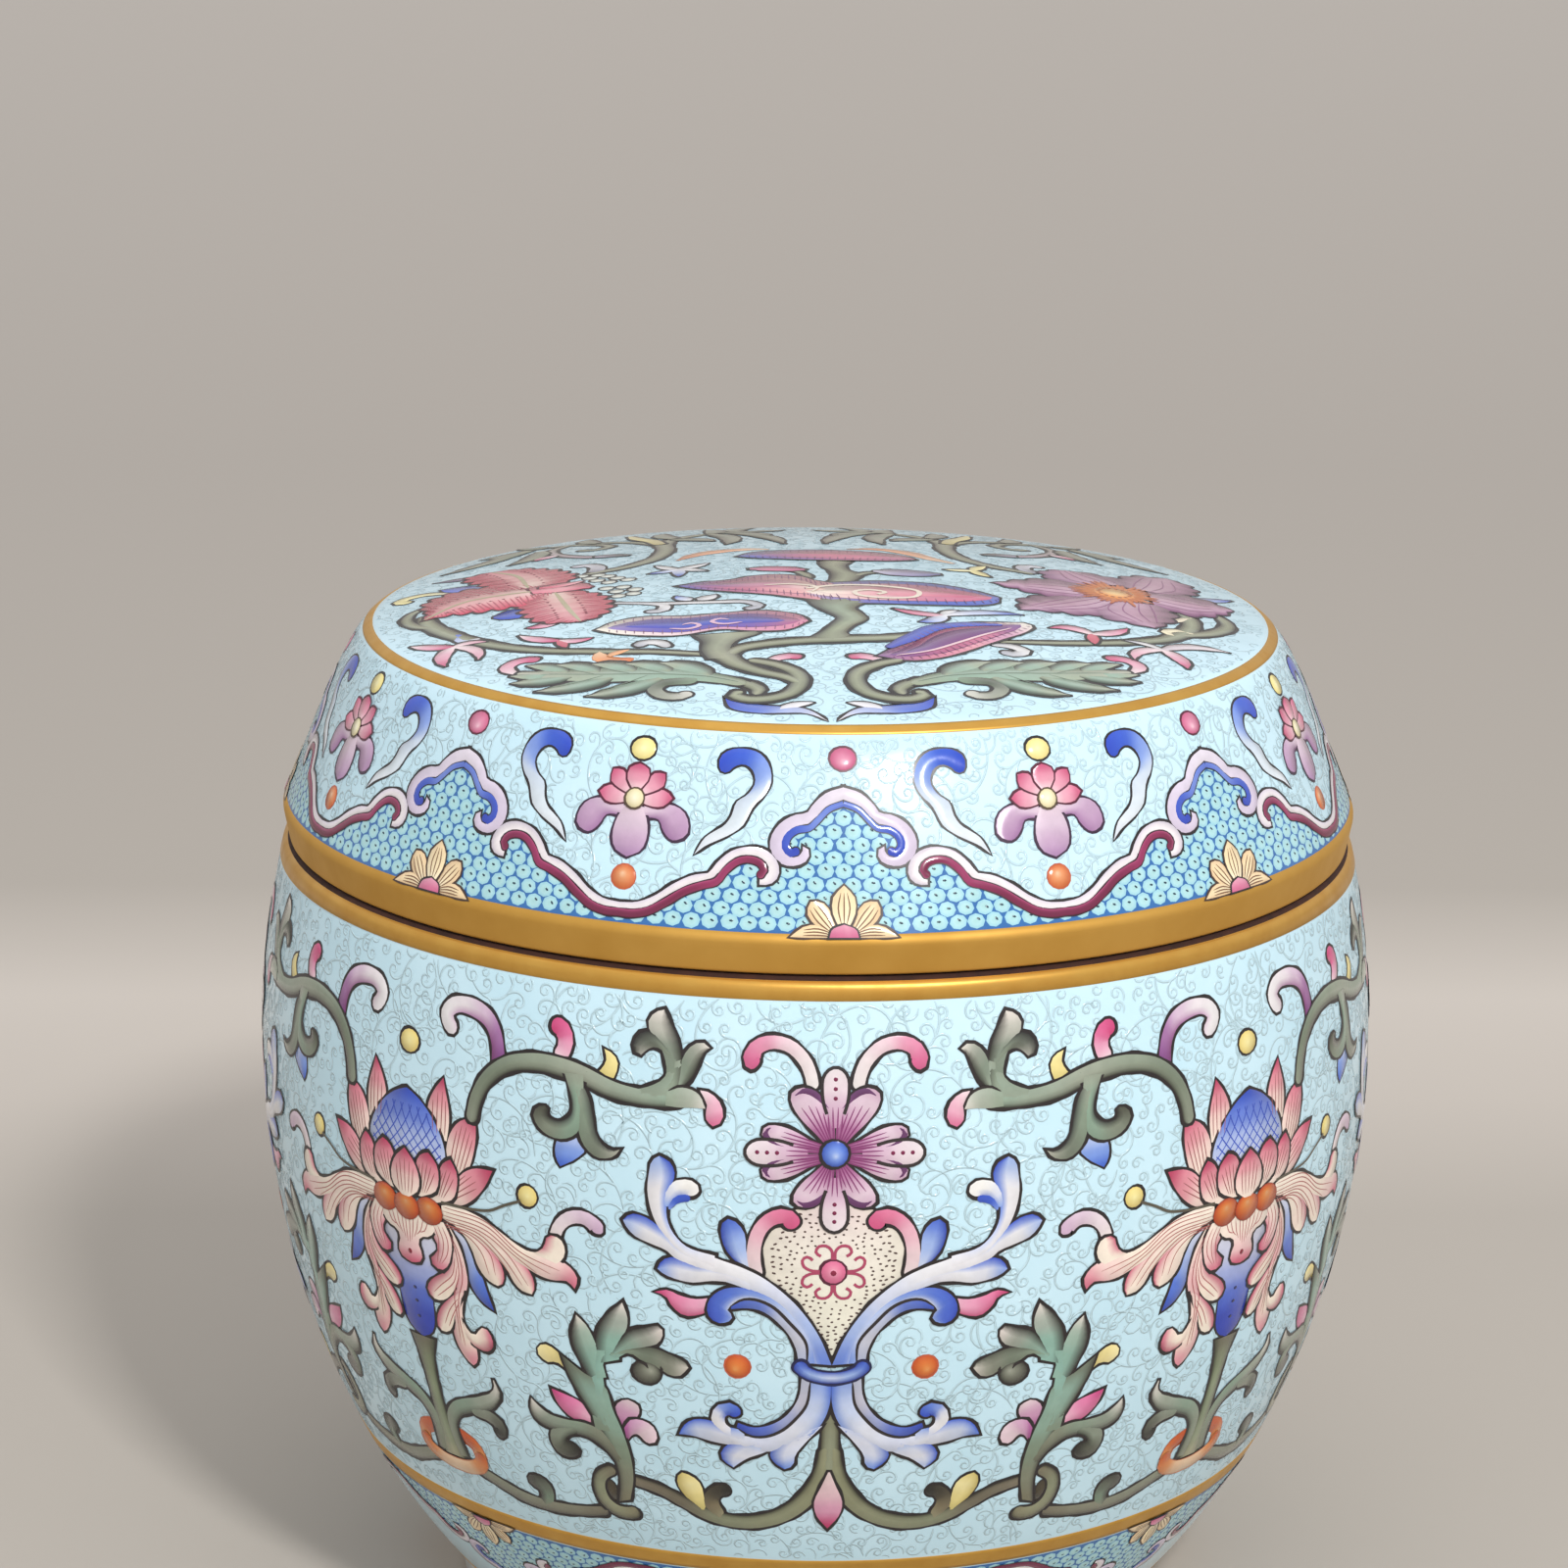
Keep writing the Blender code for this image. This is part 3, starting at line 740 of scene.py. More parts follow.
half.leaf(
    body((-25, 45.4), (-23.3, 43.3), (-22.2, 42.1), (-20.5, 41.5), (-18.8, 41), (-18.3, 41.5)),
    body((-24, 46), (-22, 44.6), (-20.3, 43.9), (-19, 43.4), (-18.3, 42.4), (-18.3, 41.5)),
    [(134, 176, 162), (130, 158, 142), (150, 156, 144), (222, 212, 206)], lo=DARK, level=1)
half.leaf(
    body((-24.6, 45), (-21.6, 44.2), (-19.6, 43.9), (-17.5, 44.5), (-15.6, 45.4), (-15.3, 46)),
    body((-24.6, 46), (-22.2, 45), (-20.6, 45.9), (-18.6, 46.6), (-17.6, 47.2), (-16.4, 47.2), (-15.3, 46)),
    [(134, 168, 150), (126, 142, 122), (112, 124, 106), (130, 134, 118), (206, 200, 190)], lo=(70, 74, 62),
    level=1)
half.dot(body((-20.3, 47.2))[0], 1.7, [(156, 160, 144), (120, 124, 108), (44, 44, 38)], ry=1.45, level=1,
         glint=(0.5, -0.3))
half.line(body((-18.6, 46.2), (-18.4, 46.9)), 0.18, INK, level=1.4)
half.line(body((-20.1, 46.6), (-20.5, 46), (-21.3, 45.9)), 0.2, INK, level=1.4)
half.leaf(
    body((-30.4, 48.8), (-31.3, 47.9), (-32.2, 47.8), (-33.1, 48), (-34.1, 47.2)),
    body((-31, 46.8), (-32, 46), (-33.2, 45.7), (-34.1, 46.3), (-34.1, 47.2)),
    [(206, 188, 112), (236, 218, 144), (242, 228, 164)], ink=0.32)
half.leaf(
    body((-26, 55.6), (-27.5, 54), (-29.3, 52.5), (-31.2, 51.9), (-32.9, 51.5)),
    body((-26, 56.4), (-28.5, 55.6), (-30.5, 55.1), (-31.9, 54), (-32.6, 52.8), (-32.9, 51.5)),
    [(238, 200, 212), (234, 170, 196), (226, 116, 166), (200, 54, 122)], hi=(214, 96, 150))
half.leaf(
    body((-24.6, 58), (-27, 56), (-29, 55.4), (-31.5, 55.4), (-33.8, 55.1), (-35.2, 54.2), (-36, 53.4)),
    body((-24.8, 61.5), (-26.6, 58.8), (-28.5, 57.5), (-30.5, 57.2), (-32.5, 57.2), (-34.6, 57),
         (-36.1, 56), (-36.4, 54.8), (-36, 53.4)),
    [(112, 114, 94), (122, 128, 108), (128, 146, 126), (134, 146, 130), (216, 210, 202)],
    hi=[(50, 50, 42)] * 2, power=2.4, level=1)
half.leaf(
    body((-32, 56), (-33.9, 57.4), (-34.2, 59), (-33.6, 60.4), (-32.2, 60.9), (-30.8, 60.5), (-30.3, 59.6)),
    body((-29.6, 57), (-31.4, 57.7), (-32, 58.4), (-31.6, 58.6), (-31, 58.7), (-30.6, 59), (-30.3, 59.6)),
    [(128, 142, 122), (132, 144, 126), (80, 84, 70), DARK], hi=(26, 26, 22), level=1)
half.leaf(
    body((-24.2, 55.6), (-24.9, 53.4), (-24.3, 51.9), (-23.1, 51.2), (-22.2, 51.5)),
    body((-23.4, 55.2), (-22.5, 54), (-21.7, 52.9), (-21.7, 51.9), (-22.2, 51.5)),
    [(160, 72, 138), (202, 146, 182), (224, 200, 208)])
half.leaf(
    body((-23.8, 55.2), (-22.8, 53.9), (-21.2, 53.8), (-20, 54.6), (-19.7, 55.9), (-20.1, 56.7),
         (-20.8, 56.9)),
    body((-23.6, 57), (-22.8, 56), (-22.2, 55.8), (-21.7, 56.2), (-21.3, 56.7), (-20.8, 56.9)),
    [(160, 72, 138), (206, 156, 190), (226, 200, 210), (226, 196, 208)], level=0.6)
half.stroke(
    body((-23.8, 67.1), (-24.5, 67.9), (-26.3, 68), (-27.9, 66.9), (-28.5, 65), (-28.1, 63.1),
         (-26.8, 61.9), (-25.8, 61.6)), [0.95, 0.95, 0.9, 0.85, 0.8, 0.75, 0.7],
    [(134, 130, 100), (140, 142, 112), (136, 142, 112), (122, 116, 92)], lo=[(52, 48, 36)] * 2, power=2.6,
    level=0.5)
half.dot(body((-26.8, 64.9))[0], 0.8, [(74, 64, 44), (58, 50, 36)], ry=1.6, ink=0.2)
half.stroke(
    body((-28, 68.3), (-32, 69.15), (-37, 69.6), (-41, 69.3), (-44, 68.4), (-48.5, 66.8)),
    [0.7, 0.78, 0.85, 0.88, 0.85, 0.8], [(118, 112, 92), (130, 130, 110), (128, 132, 114), (132, 136, 116)],
    lo=[(56, 54, 44)] * 2, power=2.6)
half.leaf(
    body((-38.6, 69.5), (-37.9, 68), (-38.1, 67.2), (-38.9, 66.9), (-39.5, 66.2), (-39.1, 65.3),
         (-38.1, 65)),
    body((-36.8, 69.8), (-36.1, 68.4), (-35.8, 67), (-36.3, 65.7), (-37.2, 65.1), (-38.1, 65)),
    [(126, 132, 112), (116, 140, 118), (96, 104, 90), (60, 62, 54)], lo=DARK)

# Body: the upper vine with its leaves
half.stroke(
    body((-42.2, 20.6), (-41.5, 17.5), (-40, 15), (-37.5, 13.1), (-34, 12.3), (-31, 12.4), (-28, 13),
         (-25, 14), (-22, 14.5), (-19, 14.6), (-16.5, 14.4)),
    [0.78, 0.82, 0.88, 0.92, 1.0, 1.05, 0.98, 0.9, 0.85, 0.75],
    [(132, 140, 122), (112, 124, 104), (136, 148, 128), (150, 158, 140), (142, 156, 138), (138, 162, 142)],
    hi=[(46, 46, 38)] * 2, power=2.4, level=1)
half.leaf(body((-22.8, 14), (-20.3, 13.2), (-18.8, 12.2), (-18.2, 10.5)),
          body((-16.9, 14.6), (-16.7, 13.2), (-16.6, 11.8), (-16.9, 10)),
          [(140, 154, 136), (142, 160, 142), (140, 152, 134)], level=1)
half.leaf(
    body((-18.9, 13.4), (-18.5, 11.4), (-19.2, 9), (-20.4, 7.5), (-20.9, 6.3), (-20.2, 5.1), (-19.1, 4.7)),
    body((-16.9, 13.4), (-16.7, 11.8), (-16.9, 9.8), (-17.4, 7.8), (-18.2, 6.2), (-19.1, 4.7)),
    [(142, 158, 138), (124, 138, 120), (122, 134, 118), (176, 176, 164), (222, 214, 206)],
    hi=[(60, 62, 52), (40, 40, 34), (40, 38, 34)], level=1)
half.leaf(
    body((-17.4, 9), (-19.3, 7.8), (-20.6, 7.2), (-21.8, 7.6), (-22.5, 8.8), (-22.2, 9.7), (-21.5, 9.9)),
    body((-17.6, 11.5), (-18.3, 10.2), (-19.2, 9.1), (-20.2, 8.9), (-20.9, 9.3), (-21.5, 9.9)),
    [(124, 138, 120), (120, 132, 114), (90, 96, 84), (150, 148, 138)], lo=(34, 34, 30), level=1)
half.leaf(
    body((-17.2, 12.6), (-17, 10.5), (-16.3, 8.9), (-15.4, 8.1), (-14.4, 8), (-13.8, 8.5)),
    body((-16.8, 13.2), (-15.6, 11.8), (-14.8, 10), (-14.4, 9.1), (-13.8, 8.5)),
    [(138, 152, 134), (118, 132, 114), (140, 146, 132), (214, 208, 198)], hi=(34, 34, 30), level=1)
half.leaf(
    body((-18.4, 13.7), (-17, 12.9), (-15.4, 13.1), (-14.5, 13.8), (-14.1, 15)),
    body((-18.5, 15.2), (-17, 15.3), (-15.5, 15.2), (-14.8, 15.2), (-14.1, 15.2)),
    [(142, 158, 138), (162, 172, 156), (206, 204, 194)], level=1.6, ink=0)
half.line(body((-18.2, 13.5), (-17, 12.9), (-15.4, 13.1), (-14.5, 13.8), (-14.0, 15.2)), 0.17, INK,
          level=1.7)
half.leaf(
    body((-14.7, 13.2), (-13.6, 13.4), (-12.5, 14.4), (-12.1, 15.9), (-12.6, 16.9), (-13.2, 17.1)),
    body((-14.4, 13.9), (-13.9, 14.7), (-14, 15.6), (-13.9, 16.5), (-13.2, 17.1)),
    [(232, 206, 212), (226, 166, 188), (212, 100, 142)], level=1.5)
half.stroke(body((-31.3, 11.6), (-30.6, 10.2), (-30.6, 8.9), (-31.4, 8.0), (-32.4, 8.1)),
            [0.95, 0.85, 0.95, 1.0, 0.95],
            [(234, 204, 212), (228, 160, 188), (216, 84, 138), (204, 56, 116)])
half.leaf(
    body((-26.9, 12.9), (-26, 11.9), (-25.5, 10.9), (-25.8, 9.7)),
    body((-24.8, 13.4), (-24.2, 11.9), (-24.2, 10.8), (-25, 10), (-25.8, 9.7)),
    [(206, 188, 110), (238, 220, 140), (240, 224, 150)], ink=0.3)
half.leaf(
    body((-38, 12.8), (-38.7, 10), (-40, 8), (-42, 6.9), (-44.3, 6.7), (-46.4, 7.3), (-47.5, 8.8),
         (-47.2, 10.2), (-46.2, 11.2), (-45.4, 11.2)),
    body((-39.8, 13.4), (-40, 11.2), (-41, 9.5), (-43, 8.7), (-44.8, 8.6), (-45.7, 9.2), (-45.1, 10),
         (-45, 10.7), (-45.4, 11.2)),
    [(124, 62, 128), (156, 100, 156), (206, 178, 202), (226, 216, 222), (228, 224, 226), (222, 216, 220)],
    hi=[PLUM, LILAC, (214, 196, 208)])
half.leaf(
    body((-28.1, 12.9), (-27.9, 17.5), (-28.6, 19.5), (-30.2, 20.4), (-32, 20.3), (-33.5, 19.3),
         (-34, 18.1), (-33.4, 17.2), (-32.5, 17)),
    body((-30.4, 12.9), (-29.3, 16), (-29.4, 17.5), (-30.6, 18.4), (-31.8, 18.3), (-32.3, 17.8),
         (-32.1, 17.4), (-32.3, 17.1), (-32.5, 17)),
    [(146, 156, 138), (134, 164, 142), (128, 154, 134), (126, 136, 118), (70, 72, 60)],
    hi=[(140, 150, 132), DARK, DARK], level=1.4)
half.leaf(
    body((-29.2, 12.9), (-27.6, 14.8), (-26.8, 17), (-26.4, 19), (-25.6, 20.3), (-24.5, 20.9),
         (-23.5, 20.7)),
    body((-28.8, 16), (-28.4, 19.2), (-27.6, 20.9), (-26.2, 21.9), (-25, 21.9), (-24.1, 21.5),
         (-23.5, 20.7)), [(146, 156, 138), (126, 144, 124), (112, 122, 106), (168, 168, 154)],
    lo=[(120, 128, 112), DARK, DARK], level=1.4)
half.leaf(body((-30.8, 20), (-31.2, 21.6), (-31, 22.8), (-30.5, 23.6)),
          body((-28, 20), (-27.5, 21.2), (-28.8, 22.6), (-30.5, 23.6)),
          [(176, 194, 238), (110, 146, 226), (52, 92, 204)], ink=0.3)

# Body: the lotus, its right half first and then what stands on its axis
TIPPED = [(243, 224, 208), (240, 210, 200), (226, 140, 154), (188, 52, 92)]
HEM = [CREAM, (236, 190, 190), (206, 100, 126), (190, 74, 104)]
CURLED_HEM = [(222, 140, 154), (190, 72, 104), (184, 60, 94)]
LEMON = [(244, 232, 160), (238, 220, 138), (226, 200, 108)]
PETAL_VEIN, LEAF_VEIN, VEIN_W = (160, 84, 88), (184, 96, 100), 0.065
for left, right, level, root, tips in (
        ([(3.9, 23.6), (3.5, 20.2), (4.3, 18.2), (5.7, 16.4)],
         [(6.5, 23.6), (6.8, 21.3), (6.6, 19.4), (6.1, 17.8), (5.7, 16.4)], 0, [(4.4, 23), (6.2, 23)],
         [(4.3, 19.2), (5.0, 18.2), (5.7, 18), (6.2, 19)]),
        ([(6.2, 26.5), (6.8, 23), (8.2, 21), (10.6, 19.9)],
         [(9.0, 28), (10.2, 25), (10.7, 22.5), (10.6, 19.9)], 0, [(7, 26.5), (8.8, 27)],
         [(8.0, 22), (8.7, 21.3), (9.4, 21.3), (9.9, 21.8), (10.3, 22.6)]),
        ([(4.6, 30.4), (7.4, 28.6), (8.8, 26.9), (10.6, 25.9), (13.1, 25.7)],
         [(5, 31.1), (8.4, 30.8), (10.4, 29.6), (12, 27.8), (13.1, 25.7)], 1, [(6, 30), (6.5, 30.8)],
         [(9.3, 27), (10.2, 26.9), (10.8, 27.4), (10.9, 28.2)]),
        ([(3.8, 31), (5.2, 29.2), (5.4, 27.4), (6.1, 26.2), (7.1, 25.6)],
         [(5, 31.2), (7.4, 30.2), (8.1, 28.4), (8.0, 26.8), (7.1, 25.6)], 2, [(5, 30.4), (6, 30.4)],
         [(6.0, 27.4), (6.6, 26.9), (7.2, 27), (7.6, 27.8)]),
        ([(1.6, 31), (1.7, 29), (1.9, 27), (2.7, 25.9), (3.8, 25.5)],
         [(2.6, 31), (4.9, 29.8), (5.4, 28), (5.0, 26.5), (3.8, 25.5)], 3, [(2.2, 30.6), (3.4, 30.4)],
         [(2.4, 27.2), (3.0, 26.8), (3.7, 26.7), (4.3, 27), (4.8, 27.7)])):
    half.leaf(lotus(*left), lotus(*right), TIPPED, level=level)
    half.fan(lotus(*root), lotus(*tips), PETAL_VEIN, VEIN_W, level)
AXIS = -CELL / 2
bud = [(-6.1, 27), (-6.3, 25.2), (-5.6, 23.2), (-4.2, 21.3), (-2.4, 19.8), (-1.0, 19.1), (0, 18.75)]
mid.sym(bud, [(200, 208, 234), (168, 186, 232), (92, 122, 218), (40, 74, 194)], AXIS, level=0.5, cols=9)
edge_y, edge_x = np.array(bud)[::-1].T[::-1]
BUD_LOW, BUD_TOP, NET_PITCH = 26.8, 20.6, 1.36
for k in range(-11, 12):
    y = np.linspace(BUD_LOW, BUD_TOP, 15)
    x = k * NET_PITCH + (BUD_LOW - y) * (1.3 - 0.08 * (BUD_LOW - y))
    ok = np.abs(x) < -np.interp(y, edge_y, edge_x) - 0.25
    if ok.sum() > 2:
        for m in (-1, 1):
            thread = np.stack([AXIS + m * x[ok], y[ok]], 1)
            mid.line(thread, 0.075, [(64, 96, 208), (44, 76, 194)], level=0.5, taper=False)
mid.sym([(-0.6, 31.5), (-2.1, 30.4), (-2.35, 28.9), (-1.6, 27.2), (-0.05, 25.8)], TIPPED, AXIS, level=4)
mid.fan([(AXIS - 1.0, 31), (AXIS + 1.0, 31)],
        [(AXIS - 1.4, 27.9), (AXIS - 0.8, 27.2), (AXIS, 27), (AXIS + 0.8, 27.2), (AXIS + 1.4, 27.9)],
        PETAL_VEIN, VEIN_W, 4)
for x, y in ((-3.7, 32.5), (3.7, 32.5), (0, 32.7)):
    mid.dot((AXIS + x, y), 2.05, [(220, 156, 100), (222, 124, 50), (206, 92, 26), (176, 54, 16)], ry=1.6,
            level=3.4 if x else 3.8, ink=0.08, ink_c=(150, 56, 24), rings=4, glint=(0, -0.6), sides=18)
mid.dot((AXIS, 13.3), 1.5, LEMON, ry=1.32, ink=0.32)
flesh = [(245, 232, 214), (244, 228, 212), (243, 220, 206), (243, 226, 208)]
half.leaf(
    lotus((5.4, 33.6), (6.7, 34.3), (8.0, 35.8), (8.6, 37.6), (8.9, 39.3), (9.6, 41), (10.8, 42.2),
          (12.3, 42.9)),
    lotus((5.4, 33.2), (6.8, 33.1), (8.2, 33.7), (9.6, 35), (10.4, 37), (11.1, 39.2), (11.7, 41.2),
          (12.3, 42.9)), [(206, 208, 226), (196, 204, 228), (150, 172, 226), (74, 110, 210), (34, 66, 178)],
    lo=[(150, 160, 200), (120, 140, 206), (40, 72, 186)], power=2.2)
half.leaf(
    lotus((7.5, 32.8), (10.5, 33.9), (12.7, 35.3), (13.8, 36.6), (14.2, 38), (13.9, 39.1), (13.2, 39.5)),
    lotus((7.5, 33.4), (8.9, 34.4), (9.9, 35.9), (10.4, 37.3), (11.1, 38.4), (12.1, 39.2), (13.2, 39.5)),
    flesh, lo=HEM, power=1.9, level=1)
half.leaf(
    lotus((9, 32.6), (12.5, 33.6), (15.6, 35), (17.3, 36.3), (18.1, 37.6), (18.2, 38.8), (17.8, 39.6)),
    lotus((9, 33.6), (11.8, 34.8), (13.7, 36.3), (14.8, 37.4), (15.5, 38.6), (16.5, 39.4), (17.8, 39.6)),
    flesh, lo=HEM, power=1.9, level=1)
half.leaf(
    lotus((5.6, 31.2), (8.7, 31.1), (11.4, 31.6), (13.7, 32.6), (16, 33.75), (17.5, 34.3), (18.7, 34.3),
          (20, 34.2), (21.4, 34.7), (22.6, 35.1), (23.4, 35.8), (23.8, 36.7), (23.4, 37.9)),
    lotus((5.6, 32.9), (8.2, 33.6), (10.5, 34.6), (12.8, 35.5), (15, 36.0), (17.2, 36.4), (19, 37.05),
          (20.7, 37.3), (22.4, 37.1), (22.9, 37.4), (23.4, 37.9)),
    flesh + [(240, 206, 200), (210, 104, 130)], level=1, cols=7)
half.leaf(
    lotus((18.3, 34.4), (19.3, 33.9), (19.85, 33.1), (20.0, 32.4), (20.6, 31.9), (21.4, 31.95)),
    lotus((21.2, 35.2), (21.9, 34.7), (22.35, 33.8), (22.3, 32.9), (21.9, 32.2), (21.4, 31.95)), flesh[:2],
    lo=[CREAM, (214, 110, 136), (196, 66, 100)], level=1.2)
for end in ([(12, 31.9), (16.5, 34.6), (21.6, 36)], [(12, 32.4), (16.4, 35.1), (20.4, 36.6)],
            [(11.8, 32.9), (15.6, 35.1), (18.6, 36.8)], [(11.4, 33.3), (14.8, 35.2), (17.4, 38.6)],
            [(11, 33.6), (14.2, 35.8), (16.6, 38.7)], [(10.6, 33.9), (13.2, 35.6), (15, 37.6)],
            [(9.8, 34), (12.4, 35.7), (13, 38.2)], [(9.2, 34.2), (11.2, 35.8), (12.1, 38.3)]):
    half.line(lotus((5.8, end[0][1] - 0.4), *end), VEIN_W, (176, 96, 92), level=1)
half.stroke(lotus((21, 32.3), (21.7, 30.6), (23.1, 29.4), (24.9, 29.2), (26.3, 30.2), (26.2, 30.8)),
            [0.68, 0.7, 0.75, 0.8, 0.95],
            [(232, 220, 218), (224, 208, 216), (214, 188, 208), (200, 166, 196)])
half.line(lotus((5.6, 31.0), (10.2, 30.8), (12.7, 30.4), (14.7, 29.4), (16.8, 28.5)), 0.17, (84, 78, 64),
          level=1.6, taper=False)
half.dot(lotus((17.7, 27.8))[0], 1.22, LEMON, ink=0.32)
mid.sym(
    [(-4.7, 35), (-4.5, 37.5), (-4.6, 39.5), (-3.6, 41.5), (-2.9, 43.5), (-2.7, 45.5), (-2.5, 47),
     (-1.7, 48.4), (0, 49.4)],
    [(206, 208, 226), (196, 200, 226), (150, 164, 220), (70, 98, 204), (38, 62, 182), (32, 54, 170)], AXIS,
    cols=7, ink=0.26)
for y in (42.9, 44.6, 46.6):
    mid.dot((AXIS, y), 0.32, [(22, 32, 96)], ry=0.22, level=0.6, ink=0, sides=8, rings=1)
half.leaf(
    lotus((5.4, 33.4), (6.6, 35.2), (6.8, 37.2), (6.9, 39), (6.6, 41), (6.1, 42.6), (6.0, 44.2), (5.7, 46),
          (5.65, 47.6), (6.2, 49.3), (7.2, 50.6), (7.95, 51.0)),
    lotus((6.4, 33.4), (7.6, 35.1), (8.3, 36.6), (8.7, 38.4), (8.8, 40), (8.35, 41.5), (7.7, 43),
          (7.4, 44.6), (7.7, 46), (8.4, 46.9), (8.8, 47.9), (8.9, 49), (8.7, 50.3), (7.95, 51.0)),
    [(244, 226, 210), (240, 208, 200), (232, 178, 180), (240, 208, 198), (243, 224, 206), (220, 132, 150)],
    lo=[CREAM, (206, 110, 134), (232, 180, 180)], level=0.8, cols=7)
half.leaf(
    lotus((7.4, 45.4), (8.2, 46.6), (9.2, 46.6), (9.8, 45.8), (10.5, 45.4), (11.2, 45.8), (11.6, 47)),
    lotus((7.6, 47.4), (8.6, 48.2), (9.5, 48.5), (10.4, 48.55), (11.2, 48.1), (11.55, 47.6), (11.6, 47)),
    [(240, 212, 200), (244, 230, 210), (242, 216, 202), (206, 96, 124)],
    hi=[CREAM, (206, 100, 124), (160, 44, 78)], level=1.2)
half.leaf(
    lotus((6.9, 36.6), (6.2, 38.5), (5.2, 39.7), (3.9, 40.5), (2.8, 41.4), (2.25, 42.3), (2.4, 43.0),
          (3.2, 43.5)),
    lotus((7.6, 36.8), (7.9, 38.6), (7.3, 40.4), (6.5, 41.7), (5.6, 42.7), (4.8, 43.25), (4.0, 43.5),
          (3.2, 43.5)), [(240, 208, 200), (240, 206, 198), (244, 226, 208), (244, 230, 212)], lo=CURLED_HEM,
    power=1.3, level=1.2, cols=7)
half.leaf(
    lotus((7.2, 41.6), (5.6, 42.9), (4.4, 44), (3.5, 45.2), (3.1, 46.4), (3.15, 47.2), (3.6, 47.5)),
    lotus((7.9, 41.6), (7.0, 43.3), (6.2, 44.8), (5.8, 46), (5.1, 47.1), (4.4, 47.5), (3.6, 47.5)),
    [(240, 208, 200), (242, 214, 202), (244, 228, 210), (244, 230, 212)], lo=CURLED_HEM, power=1.3,
    level=1.2, cols=7)
for pts in ([(6.4, 34.2), (7.4, 36.6), (7.6, 39.4), (6.6, 42), (6.6, 45), (6.6, 48)],
            [(6.9, 34.8), (7.9, 37), (8.1, 39.8), (7.2, 42.4), (6.9, 45), (7.2, 48.6)],
            [(7.2, 37.4), (6.6, 39.6), (4.6, 41.4), (3.3, 42.6)],
            [(7.4, 38.4), (6.8, 40.4), (5.2, 41.9), (3.8, 43)], [(7, 42.6), (5.6, 44.2), (4.4, 46.4)],
            [(7.2, 43), (6, 44.8), (5, 46.6)]):
    half.line(lotus(*pts), VEIN_W, LEAF_VEIN, level=1.3)
half.leaf(
    lotus((3.0, 33.4), (3.6, 34.9), (4.3, 35.8), (4.7, 36.7), (4.35, 37.5), (3.65, 38.0), (3.35, 38.5),
          (3.6, 39.1), (4.3, 39.4)),
    lotus((5.8, 33.4), (6.7, 34.9), (6.9, 36), (6.6, 37.4), (6.2, 38.4), (5.7, 39), (5.2, 39.35),
          (4.8, 39.42), (4.3, 39.4)), [(244, 228, 212), (242, 216, 206), (238, 196, 194), (212, 110, 134)],
    lo=[CREAM, (214, 120, 142), (176, 56, 92)], level=1.6, cols=7)
mid.sym(
    [(-4.6, 33.2), (-4.3, 34.9), (-3.3, 35.75), (-2.3, 36.0), (-1.6, 36.6), (-1.6, 37.4), (-2.05, 38.3),
     (-1.5, 39.3), (0, 39.7)], [(244, 230, 214), (243, 224, 210), (238, 196, 196), (204, 84, 114)], AXIS,
    level=2, cols=9)
for x in (-3.4, -2.6, -1.8, -1.0, -0.35, 0.35, 1.0, 1.8, 2.6, 3.4):
    fall = 3.4 - abs(x)
    pts = [(AXIS + x, 33.8), (AXIS + x * 0.8, 35.2 + 0.1 * fall), (AXIS + x * 0.52, 35.5 + 0.55 * fall)]
    mid.line(pts, VEIN_W, LEAF_VEIN, level=2)
for x in (4.2, 4.9, 5.6):
    half.line(lotus((x, 34), (x + 0.7, 35.6), (x + 0.5, 37.2), (4.4 + (x - 4.2) * 0.5, 38.6)), VEIN_W,
              LEAF_VEIN, level=1.6)
mid.dot((AXIS, 38.3), 0.34, [(130, 10, 40)], level=2.6, ink=0, sides=8, rings=1)
mid.stroke(
    [(AXIS - 5.2, 65), (AXIS - 4.8, 63.4), (AXIS - 3.2, 62.5), (AXIS, 62.1), (AXIS + 3.2, 62.5),
     (AXIS + 4.8, 63.4), (AXIS + 5.2, 65)], 0.95,
    [(224, 150, 84), (204, 84, 24), (190, 66, 18), (190, 66, 18), (204, 84, 24), (224, 150, 84)],
    caps=(0, 0), ink=0.16, ink_c=(204, 96, 54))
mid.sym(
    [(-2.1, 49.2), (-1.5, 51), (-1.05, 54), (-1.0, 57), (-1.1, 60), (-1.4, 63), (-2.0, 66)],
    [(110, 106, 86), (126, 138, 104), (140, 154, 120), (134, 148, 116), (146, 158, 126), (168, 166, 132)],
    AXIS, level=1, lo=(58, 64, 46), hi=(58, 64, 46), power=2.6)
half.stroke(
    lotus((1.9, 65.6), (1.5, 62.5), (1.8, 60.3), (3.3, 58.3), (5.5, 57.2), (8, 56.3), (10, 55.1),
          (10.9, 53.8), (10.7, 52.3)), [0.9, 0.85, 0.85, 0.95, 1.0, 1.0, 1.0, 0.7, 0.08],
    [(128, 134, 112), (134, 146, 126), (128, 152, 132), (150, 160, 144), (222, 216, 208)], caps=(0, 0),
    hi=[(48, 50, 42)] * 2, power=2.2, level=1)
half.stroke(lotus((6, 57.8), (8.3, 57.7), (10, 58.5), (10.1, 59.6), (9.2, 59.8)),
            [0.5, 0.75, 0.85, 0.9, 0.95], [(124, 138, 118), (130, 138, 122), (90, 94, 82), (30, 30, 28)],
            level=1)
